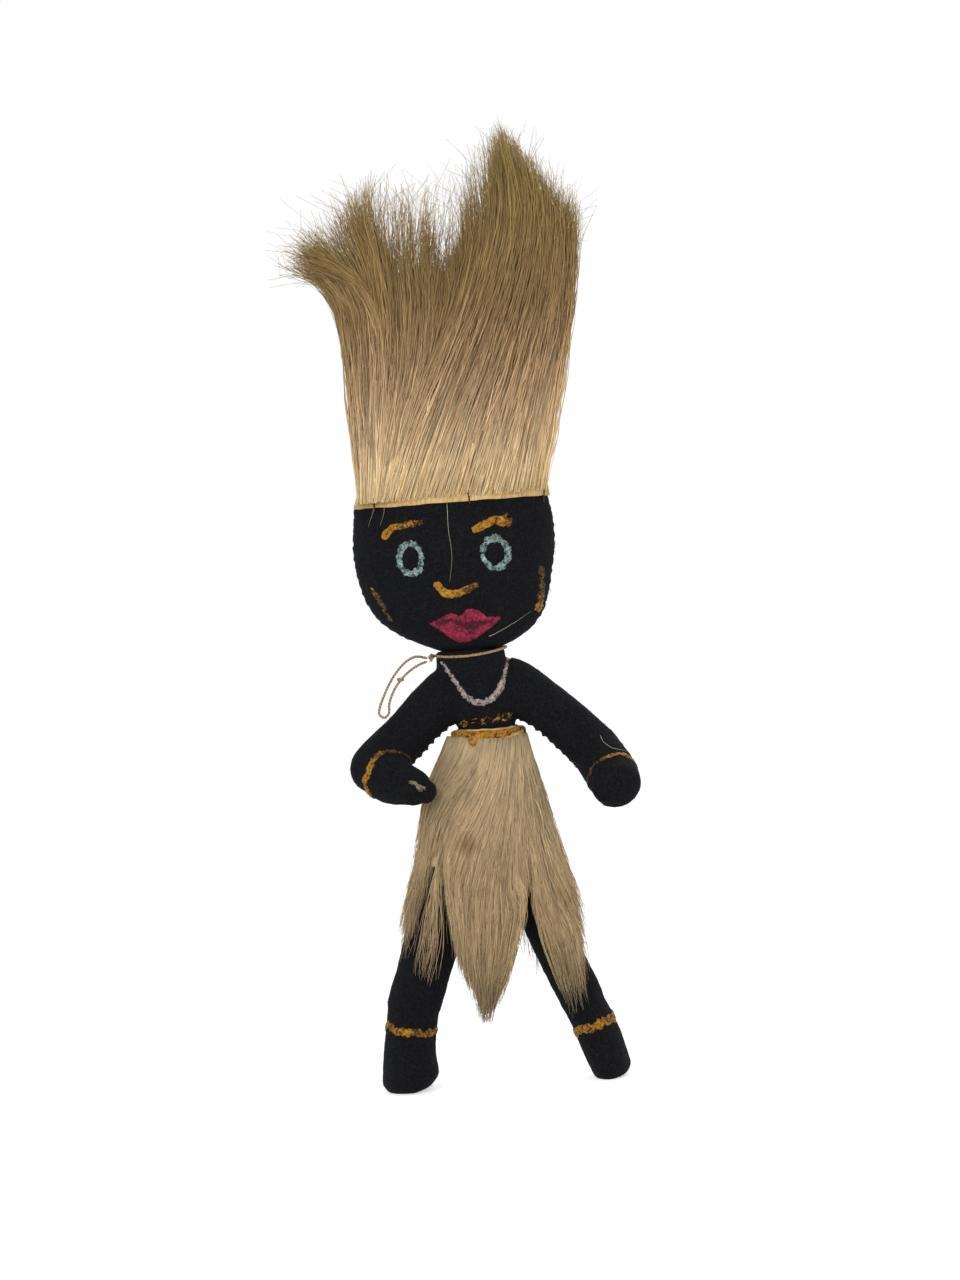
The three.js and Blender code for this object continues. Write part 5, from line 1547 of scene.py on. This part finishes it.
turns = np.radians(np.linspace(201, 541, 60))
ring_line = [(NECK_X + 8.95 * math.cos(a), 8.8 * math.sin(a),
              108.4 + 0.5 * math.cos(a) + 0.35 * math.cos(2 * a)) for a in turns]
string_piece("neck_string_ring", ring_line, ["neck_string"])
angle = math.radians(191)
tie_place = np.array((NECK_X + 10 * math.cos(angle), 10 * math.sin(angle), 108.1))
tie_turned = np.array([[0.3, 0.5, 0.8], [0.2, 0.8, -0.5], [0.9, -0.3, 0.1]])
string_piece("neck_string_tie", tie_place + knot(0.3) @ tie_turned, ["neck_string_knot"])
loop_knot, _ = string_piece("loop_small_knot", np.array((-20, -7.8, 103.3)) + knot(0.22))
loop, loop_line = string_piece("neck_string_loop_twist", LOOP, ["neck_string_loop"])


# ---- Small things: stitches at the hairline, loose hairs, and a pale mark on a hand

def thread_ticks():
    """The stitches of brown thread over the hide's edge, with a place and two heights for each."""
    paths = []
    for x, low, high, slant in (
            (-23.4, 145.4, 148.6, 0.2), (0.4, 145.6, 148.9, -0.2), (18.8, 144.6, 148.2, 0.3)):
        row = []
        for share in np.linspace(0, 1, 9):
            z = low + (high - low) * share
            sizes = slice_at(HEAD, min(z, 147))
            across = np.clip((x - sizes[0]) / (sizes[1] + 0.4), -0.98, 0.98)
            out = 0.35 + 0.75 * math.sin(math.pi * share)
            row.append((x + slant * share, -(sizes[2] + out) * math.sqrt(1 - across**2), z))
        paths.append(row)
    ticks = tubes("hairline_stitches", np.array(paths), 0.2, BROWN_THREAD, sides=6)
    attach(ticks, "head")


thread_ticks()


def loose_hair(name, places, tree, motion, radius=0.06, lift=0.16):
    """A single hair that lies on the felt."""
    line = seat(tree, smooth_path(np.array(places, float), 26), lift)
    taper = 1 - 0.5 * np.linspace(0, 1, len(line))
    attach(tubes(name, line[None], radius, LOOSE_HAIR, np.array([0.6]), taper=taper), motion)


loose_hair("loose_hair_face", [(-5.2, -12, 146.4), (-5.4, -13, 140), (-5.0, -13, 133), (-6, -13, 126.7)],
           head_tree, "head")
loose_hair("loose_hair_chin", [(3, -10, 111.3), (9.1, -10, 114), (15.4, -8, 116.8)],
           head_tree, "head", 0.07, 0.3)
loose_hair("loose_hair_brow_a", [(-24.1, -8, 147.6), (-25, -8, 144.6), (-26.6, -8, 142)], head_tree, "head")
loose_hair("loose_hair_brow_b", [(-21.3, -9, 147.6), (-21.6, -9, 145), (-22.6, -9, 142)], head_tree, "head")
loose_hair("loose_hair_arm", [(28.6, -8, 86.2), (29.2, -9, 83.6), (31.3, -10, 81.5), (34.4, -9, 81.3),
            (37.4, -7, 81.7)],
           body_tree, wrist_motion["left"], 0.07)

x, z = np.meshgrid(np.arange(-21, -14, 0.22), np.arange(74, 81, 0.22))
base = np.stack([x, np.full_like(x, -18.0), z], axis=-1)
out = np.broadcast_to(unit(np.array((0.1, -0.9, 0.45))), base.shape)
inside = inside_strokes(x, z, [([(-19.3, 79), (-17.6, 78.6)], 1.6), ([(-17.6, 78.4), (-16.6, 77.2)], 2.0),
                               ([(-16.8, 77), (-17, 76.2)], 1.2)], 0.45, 14, 0.9)
paint_patch("hand_mark", base, out, inside, body_tree, 0.18, CRUST, "right_hand",
            slot="pale_paint")


# ---- The CAD nodes that stay: the wire inside

for name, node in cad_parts.items():
    if "wire" in name:
        node.data.materials.clear()
        node.data.materials.append(WIRE)
